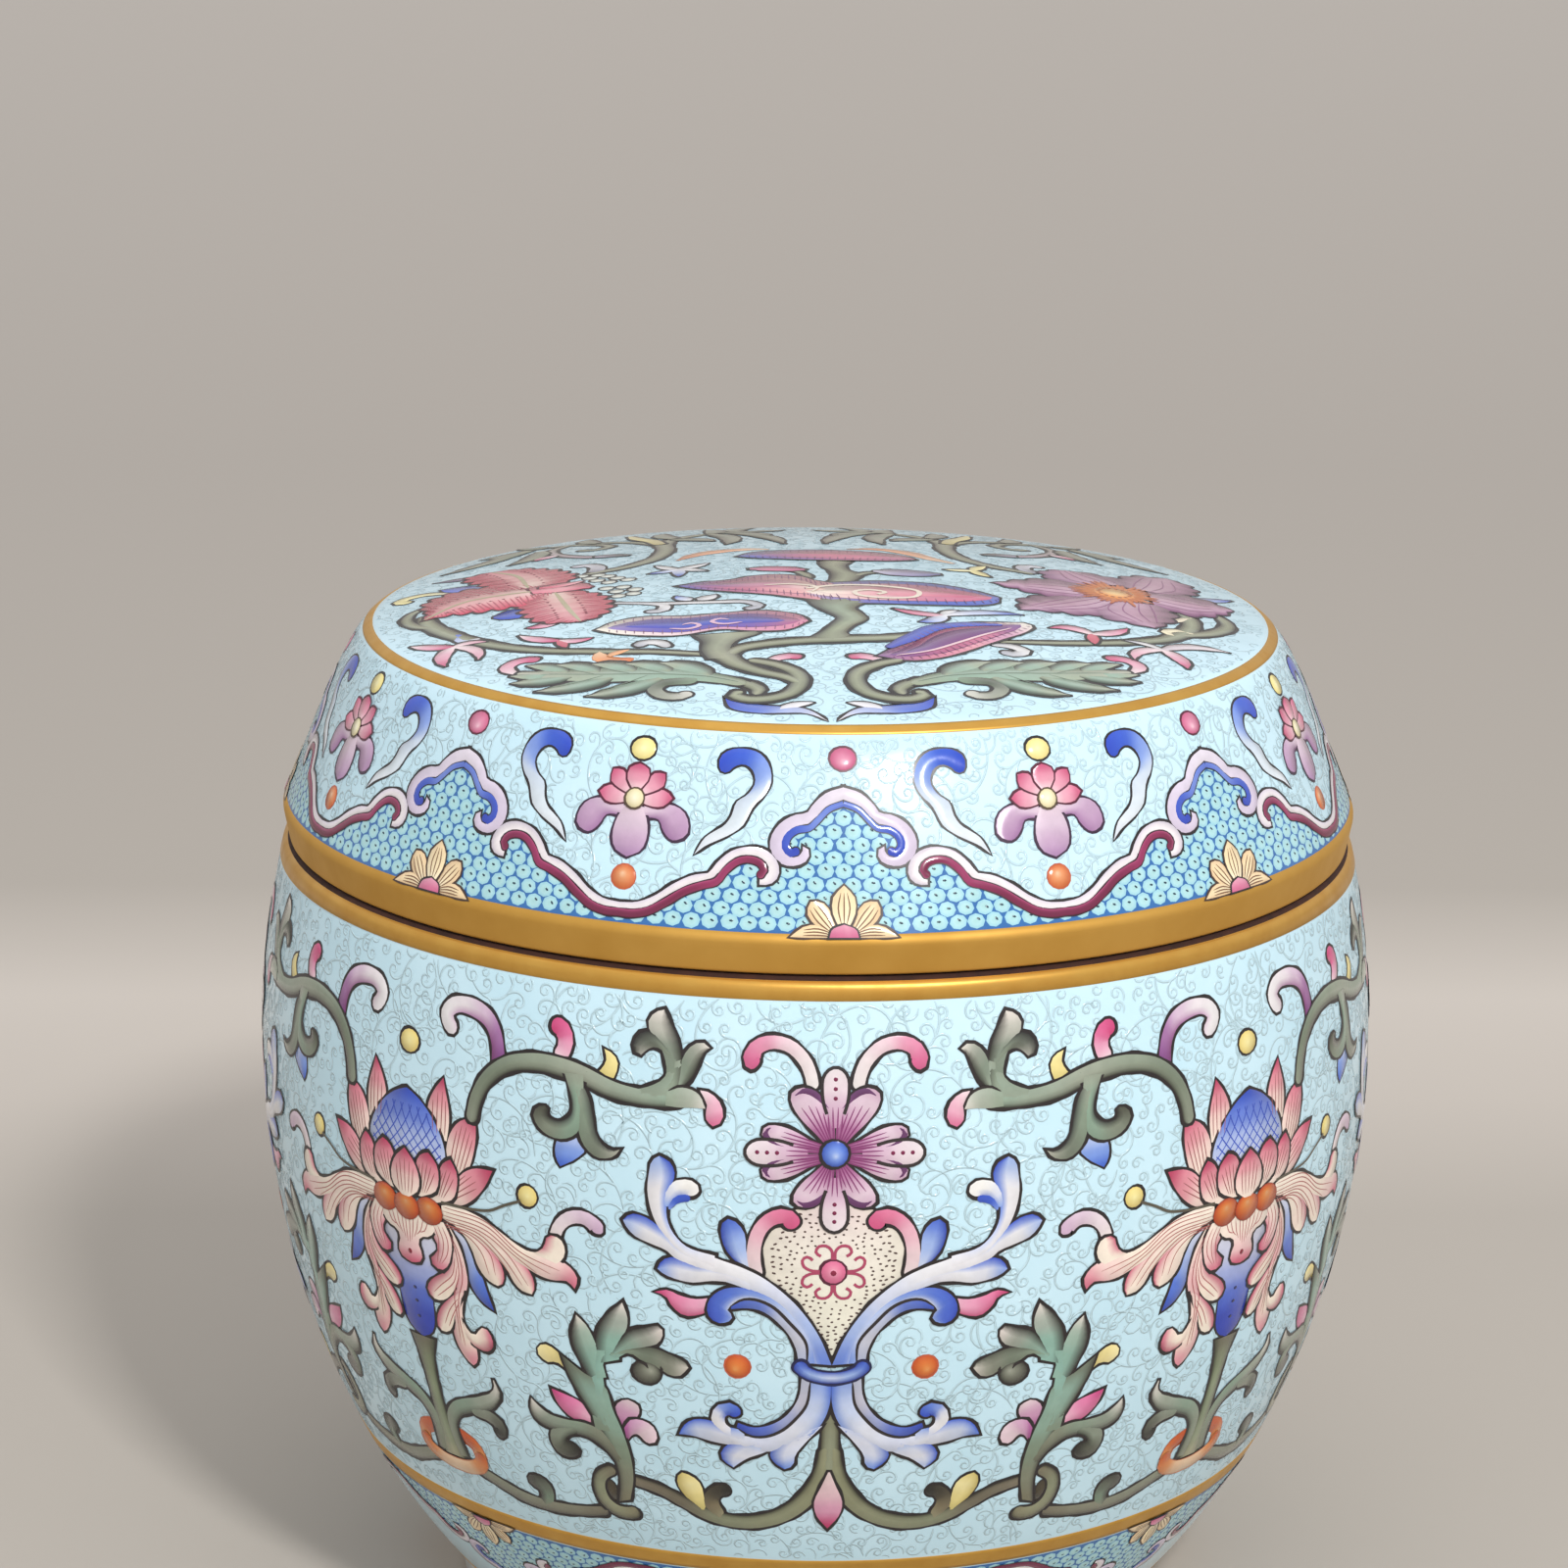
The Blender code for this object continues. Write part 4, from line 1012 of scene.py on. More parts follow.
mid.stroke(
    [(AXIS - 5.3, 64.2), (AXIS - 4.9, 65.9), (AXIS - 2.8, 67), (AXIS, 67.3), (AXIS + 2.8, 67),
     (AXIS + 4.9, 65.9), (AXIS + 5.3, 64.2)], [0.9, 1.0, 0.95, 0.9, 0.95, 1.0, 0.9],
    [(206, 88, 28), (222, 130, 62), (228, 184, 144), (230, 196, 160), (228, 184, 144), (222, 130, 62),
     (206, 88, 28)], level=2, ink=0.14, ink_c=(206, 120, 80))


# Lid side: lappet border over a honeycomb, drawn for half a cell and shared with the foot

border, border_mid, spray, spray_mid, cells = Art(), Art(), Art(), Art(), Art()
drawn["lid_border"] = (SIDE, (border, side_mirrored), (border_mid, side_plain), (cells, side_plain))
drawn["lid_sprays"] = (SIDE, (spray, side_mirrored), (spray_mid, side_plain))
LAVENDER, MILK, MAROON, HONEY = (212, 200, 220), (228, 220, 224), (116, 16, 62), (38, 104, 176)
LAPPET = [
    (0, 19.7), (2, 19.1), (3.5, 17.4), (5.5, 17.0), (7, 15.6), (7.8, 13.6), (8.4, 12.6), (10.5, 13.2),
    (12.3, 12.9), (13.7, 11.8), (14.9, 10.3), (16.5, 9.8), (18.5, 8.9), (20.5, 7.6), (22, 6.8), (23.5, 6.4),
    (25.33, 6.3)]


def border_top(u):
    """The height of the lappets' middle line at u from their axis."""
    return np.interp(u, *np.transpose(LAPPET))


u = np.linspace(0, SIDE_HALF, 40)
low = np.stack([u, np.full(40, 4.6)], 1)
border.fill(low, np.stack([u, border_top(u)], 1), HONEY, cols=13, ink=0, level=-0.3, dome=0, tilt=0)
CELL_ROWS, CELLS_A_ROW = 11, 24
CELL_LOW, CELL_RISE = 5.72, 1.45
CELL_TINTS = [(160, 210, 212), (168, 216, 222), (146, 204, 222)]
grain = np.random.default_rng(4)
for j in range(CELL_ROWS):
    for i in range(CELLS_A_ROW):
        at = np.array([(i + 0.5 * (j % 2)) * SIDE_CELL / CELLS_A_ROW, CELL_LOW + CELL_RISE * j])
        at += grain.uniform(-0.07, 0.07, 2)
        u, v = (at[0] + SIDE_HALF) % SIDE_CELL - SIDE_HALF, at[1]
        if v < border_top(abs(u)) - 0.15:
            rx, ry, angle = grain.uniform(0.97, 1.04), grain.uniform(0.82, 0.88), grain.uniform(-0.2, 0.2)
            cells.dot((u, v), rx, CELL_TINTS, ry=ry, angle=angle, ink=0, sides=8, rings=2, level=-0.2,
                      slope=0.03)
            fleck = (u + grain.uniform(-0.15, 0.3), v + grain.uniform(0, 0.25))
            cells.dot(fleck, 0.26, [(24, 54, 78)], ry=0.13, angle=grain.uniform(-0.9, 0.0), ink=0, sides=5,
                      rings=1, level=0.5)

border.leaf(
    [(0, 20.7), (2, 20.1), (3.6, 18.8), (4.3, 17.8), (4.3, 17.8), (5.8, 17.6), (7.6, 16.5), (8.5, 14.9),
     (8.3, 13.3), (7, 12.2), (5.4, 12.1), (4.1, 12.8), (4.0, 13.8), (4.7, 14.2)],
    [(0, 19.1), (1.6, 18.5), (3.0, 17.2), (3.9, 16.4), (3.9, 16.4), (5.3, 16.3), (6.4, 15.6), (6.9, 14.6),
     (6.5, 13.5), (5.7, 13.1), (5.0, 13.3), (4.7, 13.8), (4.7, 14.0), (4.7, 14.2)],
    [(218, 208, 222), LAVENDER, (206, 192, 216), (210, 196, 218)], level=1, ink=0.3)
border.stroke(
    [(0, 18.9), (1.7, 18.3), (3.1, 17.0), (4.0, 16.2), (5.4, 16.0), (6.5, 15.2), (6.7, 14.1), (5.9, 13.4),
     (5.2, 13.9)], [0.3, 0.32, 0.34, 0.4, 0.46, 0.46],
    [(84, 110, 206), (104, 130, 214), (52, 82, 196), (36, 62, 184)], caps=(0, 1), level=1.4, ink=0.12,
    step=0.5)
border.leaf(
    [(9.5, 9.9), (8.3, 10.0), (7.4, 10.9), (7.5, 12.3), (8.6, 13.5), (10.5, 14.0), (12.8, 13.5),
     (14.4, 12.2), (15.3, 10.9), (15.3, 10.9), (17.3, 10.5), (19.4, 9.4), (21.4, 7.95), (23.4, 7.1),
     (25.33, 6.9)],
    [(9.5, 10.5), (8.9, 10.8), (8.5, 11.4), (8.7, 12.2), (9.7, 12.9), (11.0, 13.1), (12.4, 12.8),
     (13.7, 11.6), (14.5, 10.3), (14.5, 10.3), (16.4, 9.85), (18.4, 8.95), (20.4, 7.55), (22.4, 6.35),
     (25.33, 6.1)], MILK, lo=(206, 196, 212), level=1.2, ink=0.32)
border.stroke(
    [(9.75, 10.75), (9.1, 11.4), (9.5, 12.2), (10.9, 12.6), (12.2, 12.3), (13.5, 11.2), (14.4, 10.0),
     (16, 9.5), (18, 8.7), (20, 7.35), (22, 6.2), (23.8, 5.8), (25.33, 5.8)],
    [0.42, 0.36, 0.4, 0.42, 0.44, 0.42], [MAROON, (150, 34, 88), MAROON, (112, 18, 62)], hi=(166, 60, 106),
    caps=(1, 0), level=1.6, ink=0.14, ink_c=(50, 12, 30), step=0.5)
TAN, BROWN = [(250, 236, 200), (244, 222, 176), (236, 206, 160)], (126, 84, 54)
for left, right in (([(1.2, 4.9), (2.8, 5.7), (4.4, 5.5), (5.9, 4.35)],
                     [(1.2, 4.35), (3, 4.3), (4.5, 4.3), (5.9, 4.35)]),
                    ([(0.9, 5.4), (1.5, 7.2), (2.5, 8.2), (3.7, 8.2)],
                     [(1.7, 4.9), (3.3, 5.8), (4.1, 7.1), (3.7, 8.2)])):
    border.leaf(left, right, TAN, level=2, ink=0.24, ink_c=UMBER, lo=(232, 196, 150), hi=(232, 196, 150))
    a, b = np.array(left), np.array(right)
    for f in (0.3, 0.55, 0.8):
        border.line(a[:3] * (1 - f) + b[:3] * f, 0.08, BROWN, level=2)
border_mid.sym([(-0.45, 5.3), (-1.25, 7), (-1.2, 8.7), (0, 10.0)], TAN, level=3, ink=0.24, ink_c=UMBER)
for x in (-0.5, 0, 0.5):
    border_mid.line([(x * 0.6, 5.8), (x * 1.3, 7.5), (x * 0.7, 9.2)], 0.08, BROWN, level=3)
border_mid.sym([(-1.6, 4.32), (-1.3, 5.2), (0, 5.75)], [(206, 96, 138), (226, 150, 176)], level=4, ink=0.22)
border_mid.dot((0, 23.9), 1.62, [(236, 186, 202), (214, 122, 156), (196, 84, 126)], ry=1.3, ink=0.26,
               ink_c=(96, 30, 54), glint=(0.1, -0.5))

# Lid side: flowers, commas and dots above the lappets
left = [
    (15.3, 22.6), (15.3, 23.7), (14.1, 24.6), (12.3, 24.8), (10.3, 24.3), (9, 22.8), (8.75, 21.1),
    (9.5, 19.6), (10.6, 18.6), (11.15, 17.6), (11.8, 16.3), (13.1, 15.3), (14.7, 14.5), (16.1, 13.8),
    (17.3, 12.8)]
right = [
    (15.3, 22.6), (15.0, 22.1), (14.2, 22.0), (13.4, 22.7), (12.2, 23.0), (11.1, 22.4), (10.7, 21.0),
    (11.5, 19.7), (12.7, 18.9), (13.0, 18.3), (13.2, 17.4), (14.0, 16.2), (15.1, 15.5), (16.2, 14.7),
    (17.3, 12.8)]
spray.leaf(left, right,
           [(30, 66, 196), (44, 84, 206), AZURE, (196, 210, 228), (208, 220, 230), (214, 222, 230),
            (206, 214, 226)], ink=0.28)


def beside(*pts):
    """Points left of the flower's axis, given by how far they lie from it."""
    return np.array([(SIDE_HALF - x, v) for x, v in pts])


spray.leaf(
    beside((0.4, 17.9), (2.6, 17.8), (4.6, 18.0), (6.2, 17.4), (7.0, 16.1), (6.9, 14.8), (5.8, 14.2)),
    beside((0.4, 16.0), (2.4, 16.4), (3.4, 16.2), (3.9, 15.3), (4.6, 14.5), (5.2, 14.15), (5.8, 14.2)),
    [(216, 192, 206), (208, 182, 204), (188, 152, 186), (170, 128, 170)], hi=(156, 108, 158), level=0.6,
    ink=0.3, ink_c=DUSK)
spray.leaf(
    beside((0.9, 18.7), (2.4, 19.5), (3.9, 19.4), (4.7, 18.7)),
    beside((1.0, 17.9), (2.4, 17.6), (3.8, 17.8), (4.7, 18.7)),
    [(238, 198, 206), (226, 150, 172), (204, 84, 124)], level=2, ink=0.26, ink_c=WINE)
spray.leaf(
    beside((0.3, 19.2), (1.3, 20.6), (2.2, 21.35), (3.4, 21.3)),
    beside((0.9, 18.8), (2.3, 19.3), (3.5, 20.1), (3.4, 21.3)),
    [(238, 198, 206), (224, 144, 168), (200, 80, 120)], level=2.4, ink=0.26, ink_c=WINE)
spray_mid.sym([(-1.0, 17.6), (-1.9, 16), (-2.15, 14.2), (-1.6, 12.7), (0, 11.9)],
              [(216, 192, 206), (208, 184, 204), (190, 156, 188), (164, 122, 168)], SIDE_HALF, level=1,
              ink=0.3, ink_c=DUSK)
spray_mid.sym([(-0.45, 19.3), (-1.4, 20.6), (-1.2, 21.7), (0, 22.2)],
              [(238, 196, 204), (222, 140, 164), (198, 76, 118)], SIDE_HALF, level=3, ink=0.26, ink_c=WINE)
spray_mid.dot((SIDE_HALF, 18.35), 1.12, [(246, 240, 214), (238, 228, 188), (220, 206, 156)], ry=1.05,
              level=4, ink=0.24, ink_c=(90, 70, 50))
spray_mid.dot((SIDE_HALF, 24.0), 1.62, [(246, 238, 180), (242, 228, 150), (232, 214, 128)], ry=1.25,
              ink=0.3)
spray_mid.dot((SIDE_HALF, 9.7), 1.45, [(240, 192, 150), (226, 134, 76), (206, 92, 40)], ry=1.35, ink=0.12,
              ink_c=RUST, glint=(-0.2, 0.4))


class FootBorder:
    """The lid's border laid upside down below the lower gilt band."""

    TOP, LOW, SQUEEZE = 75.9, 4.25, 0.82

    def place(self, u, v, h):
        """As the body's place, for points drawn on the lid's side."""
        return BODY.place(u * BELLY_R / SIDE_R, self.TOP + (v - self.LOW) * self.SQUEEZE, h)


drawn["foot_border"] = (FootBorder(), *drawn["lid_border"][1:])

# Crown: fungus stems between two flowers, in millimetres seen from above
top = Art()
drawn["crown"] = (TOP, (top, once))
WOOD, BARK, SHADED_BARK = [(158, 160, 132), (146, 152, 124), (160, 166, 136)], (36, 33, 27), (84, 82, 60)
LEAF = [(150, 160, 134), (142, 172, 152), (150, 176, 158), (158, 170, 148), (176, 178, 160)]
ROSY = [(236, 214, 218), (226, 160, 182), (206, 74, 122)]
BLUISH = [(226, 226, 234), (190, 202, 234), (70, 100, 204)]
GREYISH = [(196, 196, 202), (224, 222, 224), (176, 178, 190)]
BERRY = [(214, 90, 110), (200, 60, 90)]


def flipped(pts, m):
    """The points as they are, or their counterparts on the right side of the picture."""
    p = np.array(pts, float)
    return p if m > 0 else p * (-1, 1) - (2, 0)


def vine(pts, w, c=WOOD, m=1, **k):
    """A stem with dark edges."""
    top.stroke(flipped(pts, m), w, c, lo=BARK, hi=BARK, power=2.6, ink=0.42, **k)


def lobe(base, tip, width, c, bend=0.0, m=1, level=0.6, shape=(0.45, 0.95, 1.0, 0.72, 0.03), **k):
    """A small curved leaf or petal from its base to its tip."""
    base, tip = flipped((base, tip), m)
    d = tip - base
    n = np.array((-d[1], d[0])) / np.hypot(*d)
    t = np.linspace(0, 1, max(7, int(np.hypot(*d) / 0.6)))
    spine = base + d * t[:, None] + n * (bend * m * 4 * t * (1 - t))[:, None]
    e = np.gradient(spine, axis=0)
    e = lefts(e) / np.hypot(*e.T)[:, None] * (width * ramp(shape, t))[:, None]
    top.fill(spine - e, spine + e, c, level=level, **k)


# Two scrolled stems with long toothed leaves
for m in (1, -1):
    top.leaf(
        flipped([(-12.6, -45.8), (-11.9, -49.0), (-9.2, -50.4), (-6.2, -50.6), (-4.2, -50.7), (-2.8, -51.5),
                 (-1.5, -52.9)], m),
        flipped([(-12.6, -45.8), (-10.8, -47.3), (-8.5, -48.4), (-6, -49), (-4.4, -49.3), (-3.2, -50.2),
                 (-1.5, -52.9)], m), [(40, 68, 190), (84, 112, 210), (170, 184, 228), (230, 226, 230)])
    lobe((-6.6, -49.6), (-2.9, -48.0), 0.7, PEARL, 0.3, m, level=0)
    vine(
        [(-9.6, -35.2), (-6.8, -36.8), (-4.6, -39.2), (-4.1, -42), (-5.2, -45.2), (-7.6, -46.7),
         (-10.2, -46.7), (-11.6, -45.3), (-10.6, -44.6)], [0.75, 0.85, 0.95, 1.0, 1.0, 0.95, 0.9, 0.7], m=m,
        level=1)
    vine([(-9.2, -45.6), (-8.8, -44.2), (-9.8, -42.6), (-12, -41)], [0.6, 0.9, 1.0, 1.1], m=m, level=0.6)
    for tip, base, wide, bend in (
            ((-19.6, -34.7), (-14.2, -39.6), 1.5, 0.8), ((-23.4, -34.2), (-18.5, -37.6), 1.4, 0.6),
            ((-27.2, -33.4), (-22.5, -36.8), 1.4, 0.6), ((-31.2, -32.5), (-26.5, -36.2), 1.3, 0.6),
            ((-34.6, -31.6), (-30, -35.2), 1.1, 0.5), ((-36.4, -34.4), (-31, -35.6), 1.2, 0.0)):
        lobe(base, tip, wide, LEAF, -bend, m, level=1, hi=None if m > 0 else (34, 40, 34),
             lo=(34, 40, 34) if m > 0 else None, power=1.2)
    for tip, base, wide, bend in (((-27.9, -43), (-19.5, -39.6), 1.6, 0.9),
                                  ((-33.4, -40.1), (-25, -38.3), 1.6, 0.7),
                                  ((-36.3, -36.7), (-29.5, -36.8), 1.4, 0.4)):
        lobe(base, tip, wide, LEAF, bend, m, level=1, lo=None if m > 0 else (36, 42, 36),
             hi=(36, 42, 36) if m > 0 else None, power=1.2)
    top.stroke(flipped([(-10.2, -42.4), (-14, -40.2), (-19, -38.4), (-25, -37.3), (-31, -35.8),
                        (-35.6, -33.8)], m), [0.9, 1.3, 1.9, 2.1, 1.6, 0.5], LEAF, level=1, ink=0.38)
    top.line(flipped([(-11, -41.8), (-14.5, -39.8), (-20, -38.2), (-26, -37), (-33, -35)], m), 0.13,
             (96, 118, 96), level=1)
    for a, b in (((-19, -38.2), (-22.6, -35)), ((-23, -37.4), (-26.6, -34.2)),
                 ((-27, -36.6), (-30.6, -33.2)), ((-21, -38.4), (-26.8, -42)),
                 ((-26, -37.4), (-32.2, -39.6))):
        top.line(flipped([a, ((a[0] + b[0]) / 2, (a[1] + b[1]) / 2 - 0.3), b], m), 0.1, (104, 124, 104),
                 level=1)
    top.stroke(
        flipped([(-15.5, -40.5), (-19.3, -40.9), (-20.3, -42.6), (-19.3, -44.6), (-17.3, -45),
                 (-16.5, -44)], m), [1.3, 1.2, 0.95, 0.8, 0.85, 0.8],
        [(124, 146, 122), (88, 98, 82), (150, 154, 138), (204, 202, 192)], level=1, ink=0.38)
    top.stroke(flipped([(-35.6, -34), (-36.9, -31.6), (-36, -29.9), (-34.3, -29.5), (-33.4, -30.3)], m),
               [0.3, 0.8, 0.85, 0.9], ROSY)
    top.stroke(flipped([(-7.4, -35.7), (-6.2, -34.6), (-4.7, -34.2), (-3.8, -34.9)], m),
               [0.5, 0.75, 0.85, 0.8], ROSY)

# Trunk and cross branch
vine([(-14.2, -32.8), (-20, -30.9), (-27, -29.1), (-34, -26.2), (-39.5, -21.7), (-44, -15.6), (-46.6, -9.4),
      (-47, -5.5)], [0.55, 0.65, 0.75, 0.85, 0.95, 1.1, 1.15, 0.9])
vine([(-45.4, -12.5), (-48.2, -9.5), (-49.2, -6), (-48.4, -2.8), (-46.4, -1)], [0.5, 0.75, 0.7, 0.6, 0.4])
vine([(19, -27.4), (26, -26.1), (33, -23.6), (39.5, -19.2), (42.8, -13.5), (43.3, -8.6), (42.4, -5)],
     [0.5, 0.65, 0.8, 1.0, 1.15, 1.1, 0.8])
vine([(41.5, -17), (45.6, -13.6), (47.8, -9.4), (47.4, -5.6), (46.2, -3.6)], [0.8, 1.0, 0.95, 0.8, 0.5])
vine([(-12.2, -34), (-10.6, -31.4), (-7.4, -30), (-3, -29.1), (2, -28.5), (6.5, -27.9), (10.5, -26.6)],
     [0.9, 1.1, 1.1, 1.2, 1.1, 1.0], level=1)
top.leaf(
    [(-3.2, -29), (-1.4, -26.6), (0.2, -23.2), (1.0, -20.6), (-0.2, -18.2), (-1.6, -15.6), (-2.2, -13.4),
     (-4, -11.6)],
    [(3.4, -28.6), (1.8, -26.6), (2.8, -23.6), (4.4, -21.2), (3.9, -18.8), (3.2, -16.8), (4.6, -14.6),
     (8.6, -13.6)], [(136, 142, 112), (150, 160, 126), (148, 162, 132), (140, 158, 130), (120, 126, 98)],
    lo=BARK, hi=SHADED_BARK, power=2.4, level=1, ink=0.38)
top.leaf(
    [(-14.2, -34.4), (-14.9, -31.4), (-14.7, -28.6), (-15.6, -26.2)],
    [(-10.6, -34.6), (-11.6, -31.2), (-10.6, -28.4), (-8.2, -26.3), (-8.6, -25.6)], WOOD, lo=BARK,
    hi=SHADED_BARK, power=2.4, level=1.1, ink=0.38)
vine([(-12.6, -32.8), (-11.2, -36), (-8.6, -38.8), (-5.6, -40.8), (-4.3, -42.4)],
     [1.6, 1.3, 1.0, 0.85, 0.7], level=1.1, caps=(0, 1))
top.leaf([(0.3, 8.6), (0.2, 4.6), (1.1, 1.6), (1.2, -1.6), (0.4, -5.6)],
         [(4.6, 8.6), (3.2, 5), (3.6, 2), (4.8, 0), (4.2, -3), (2.8, -5.6)], WOOD, lo=BARK, hi=BARK,
         power=2.4, ink=0.38)
vine([(4.2, -0.6), (5.6, 0.8), (7.6, 1.4)], [0.6, 0.5, 0.4])
vine([(-1.7, -2.6), (-1.8, -0.6), (-2.8, 1.4), (-4, 2.2)], [0.6, 0.6, 0.5])


CAP_LINE, CAP_STEPS = (120, 50, 110), 26


def cap(left, right, edge, flesh, core):
    """A fungus cap: a coloured rim, a body inside it, fine ribs and a darker core."""
    left, right = curve(left), curve(right)
    t = np.linspace(0, 1, CAP_STEPS)
    a, b = along(left, t * arc_of(left)[-1]), along(right, t * arc_of(right)[-1])
    spine = (a + b) / 2
    ends = np.sin(np.pi * t) ** 0.35

    def inner(line, share, reach):
        """The edge drawn in to a share of its width, and kept reach away from the cap's ends."""
        s = np.linspace(reach, 1 - reach, CAP_STEPS)
        core_line = rows_at(spine, t, s)
        return core_line + (rows_at(line, t, s) - core_line) * (share * ends)[:, None]

    top.fill(a, b, edge, level=1.2, ink=0.42, cols=7)
    top.fill(inner(a, 0.74, 0.07), inner(b, 0.74, 0.07), flesh, level=1.6, ink=0.13, ink_c=CAP_LINE, cols=7)
    top.fill(inner(a, 0.4, 0.16), inner(b, 0.34, 0.16), core, level=2.0, ink=0.1, ink_c=CAP_LINE)
    for i in range(2, CAP_STEPS - 1):
        for line in (a, b):
            out = line[i] - spine[i]
            top.line([spine[i] + out * 0.5, spine[i] + out * 0.92], 0.07, CAP_LINE, level=2.2, step=1.2)


INDIGO = (72, 72, 186)
cap(
    [(-26.8, -21.4), (-24.6, -18.9), (-20.5, -17.9), (-16.4, -18.7), (-12.4, -18.2), (-7.4, -17.7),
     (-3.4, -19.6), (-2.4, -22.0)],
    [(-26.8, -21.4), (-24.4, -23.6), (-21, -25.1), (-17.2, -25.8), (-12.6, -24.3), (-9, -25.3),
     (-4.8, -25.1), (-2.4, -22.0)], [(238, 232, 218), (230, 206, 212), (210, 150, 178), (214, 130, 160)],
    [(140, 120, 190), (96, 88, 184), (106, 84, 176), (176, 96, 140)],
    [INDIGO, (70, 84, 190), (84, 76, 176)])
for x, y, k in ((-16.2, -22.6, 1), (-12.2, -21.4, -1)):
    curl = [(-2.2, -0.8), (0, -1.3), (1.3, -0.2), (0.4, 0.8), (-0.7, 0.3)]
    top.line([(x + dx * k, y + dy) for dx, dy in curl], 0.3, (222, 176, 204), level=2.6)
cap(
    [(4.9, -34.2), (7, -31.2), (8.8, -28.6), (9.8, -26), (12, -23.2), (15.4, -21.4), (19.4, -20.3),
     (22.6, -19.7)],
    [(4.9, -34.2), (8.4, -35.4), (12, -34.2), (15, -31.7), (17.6, -28.9), (20, -26.2), (22.6, -23.2),
     (23.6, -20.6), (22.6, -19.7)],
    [(140, 96, 150), (206, 124, 150), (222, 150, 166), (206, 150, 180), (236, 228, 216)],
    [(116, 66, 136), (180, 92, 130), (198, 112, 144), (120, 70, 142)],
    [(120, 84, 150), (118, 62, 124), (106, 58, 124)])
top.stroke([(6.2, -31.6), (9.4, -27.4), (12.2, -23.7), (16, -21.9), (20, -21.3)], [0.5, 1.0, 1.0, 0.8, 0.3],
           [(60, 74, 190), (56, 84, 200), (80, 96, 204)], level=2.4, ink=0.1, ink_c=(50, 40, 110))
top.line([(7, -34.2), (11, -32.2), (14.6, -28.8), (17.6, -25.6), (21, -22.4)], 0.22, (236, 196, 206),
         level=2.6)
cap(
    [(-17.1, -4.8), (-14, -3.3), (-11, -2.9), (-8.2, -1.1), (-5, -0.6), (-2.4, -1.8), (-1, -3.8),
     (1, -5.2)],
    [(-17.1, -4.8), (-15.2, -6.6), (-12, -8.2), (-9, -9.5), (-6, -10.7), (-3, -12.3), (0.2, -13.4),
     (2.4, -12.2)], [(100, 92, 170), (176, 108, 140), (210, 140, 154), (222, 160, 166)],
    [(136, 92, 152), (186, 104, 134), (222, 156, 162), (236, 200, 188)],
    [(140, 92, 144), (190, 124, 148), (230, 192, 184)])
cap(
    [(-3.2, -9.6), (-1.2, -6), (2.6, -4.7), (7.6, -3.9), (12.8, -4.3), (17, -6), (20.6, -9.2)],
    [(-3.2, -9.6), (-0.6, -13), (3, -14.3), (7.6, -14.5), (12.4, -14.3), (17, -13.7), (20.2, -11.8),
     (20.6, -9.2)], [(206, 170, 186), (120, 112, 180), (88, 104, 192), (78, 98, 190), (92, 106, 190)],
    [(236, 218, 206), (226, 180, 182), (202, 116, 146), (202, 98, 132)],
    [(240, 224, 208), (220, 140, 156), (196, 90, 124)])
top.line([(-2, -8.2), (2, -6.6), (7, -6.8), (11, -8.6), (10.6, -11.4), (7.2, -12.4), (4, -11.4),
          (3.6, -9.6), (5.4, -8.8), (7.2, -9.8), (6.2, -10.8)], 0.32, (244, 228, 210), level=2.8,
         taper=False)
top.line([(-7, -6.4), (-3.6, -6.2), (-0.8, -7.6), (-1.4, -9.8)], 0.26, (244, 228, 210), level=2.9)
cap(
    [(-9.6, 11.7), (-8, 14.1), (-4, 15.4), (0, 15.7), (4, 15.2), (8, 14.1), (11, 12.2), (12, 10.1)],
    [(-9.6, 11.7), (-7.4, 10.2), (-4, 9.3), (0, 8.5), (4, 8.4), (9, 8.7), (12, 10.1)],
    [(80, 94, 180), (150, 112, 166), (180, 112, 140), (174, 108, 134)],
    [(112, 96, 168), (176, 106, 134), (200, 118, 138), (188, 116, 138)],
    [(146, 96, 142), (196, 106, 130), (180, 104, 130)])
lobe((-1.8, 2.2), (-8.4, 3.2), 1.35, [(190, 90, 130), (206, 110, 146), (196, 120, 150)], -0.3,
     shape=(0.3, 0.9, 1.0, 0.9, 0.3))
lobe((6.4, 1.9), (14.4, 1.5), 1.75, [(186, 180, 200), (150, 140, 176), (106, 104, 150)], -0.4,
     shape=(0.25, 0.9, 1.0, 0.8, 0.2))
for pts in ([(-17, 10.8), (-14.8, 14.2), (-11.4, 16.6), (-7.6, 17.4), (-5.6, 16.8)],
            [(4, 17.2), (8, 17.5), (11.4, 15.2), (13.8, 11.8), (16.6, 9)]):
    top.stroke(pts, [0.15, 0.9, 1.2, 0.9, 0.3], [(206, 130, 90), (226, 160, 120), (236, 200, 170)], ink=0.1,
               ink_c=(190, 130, 96))


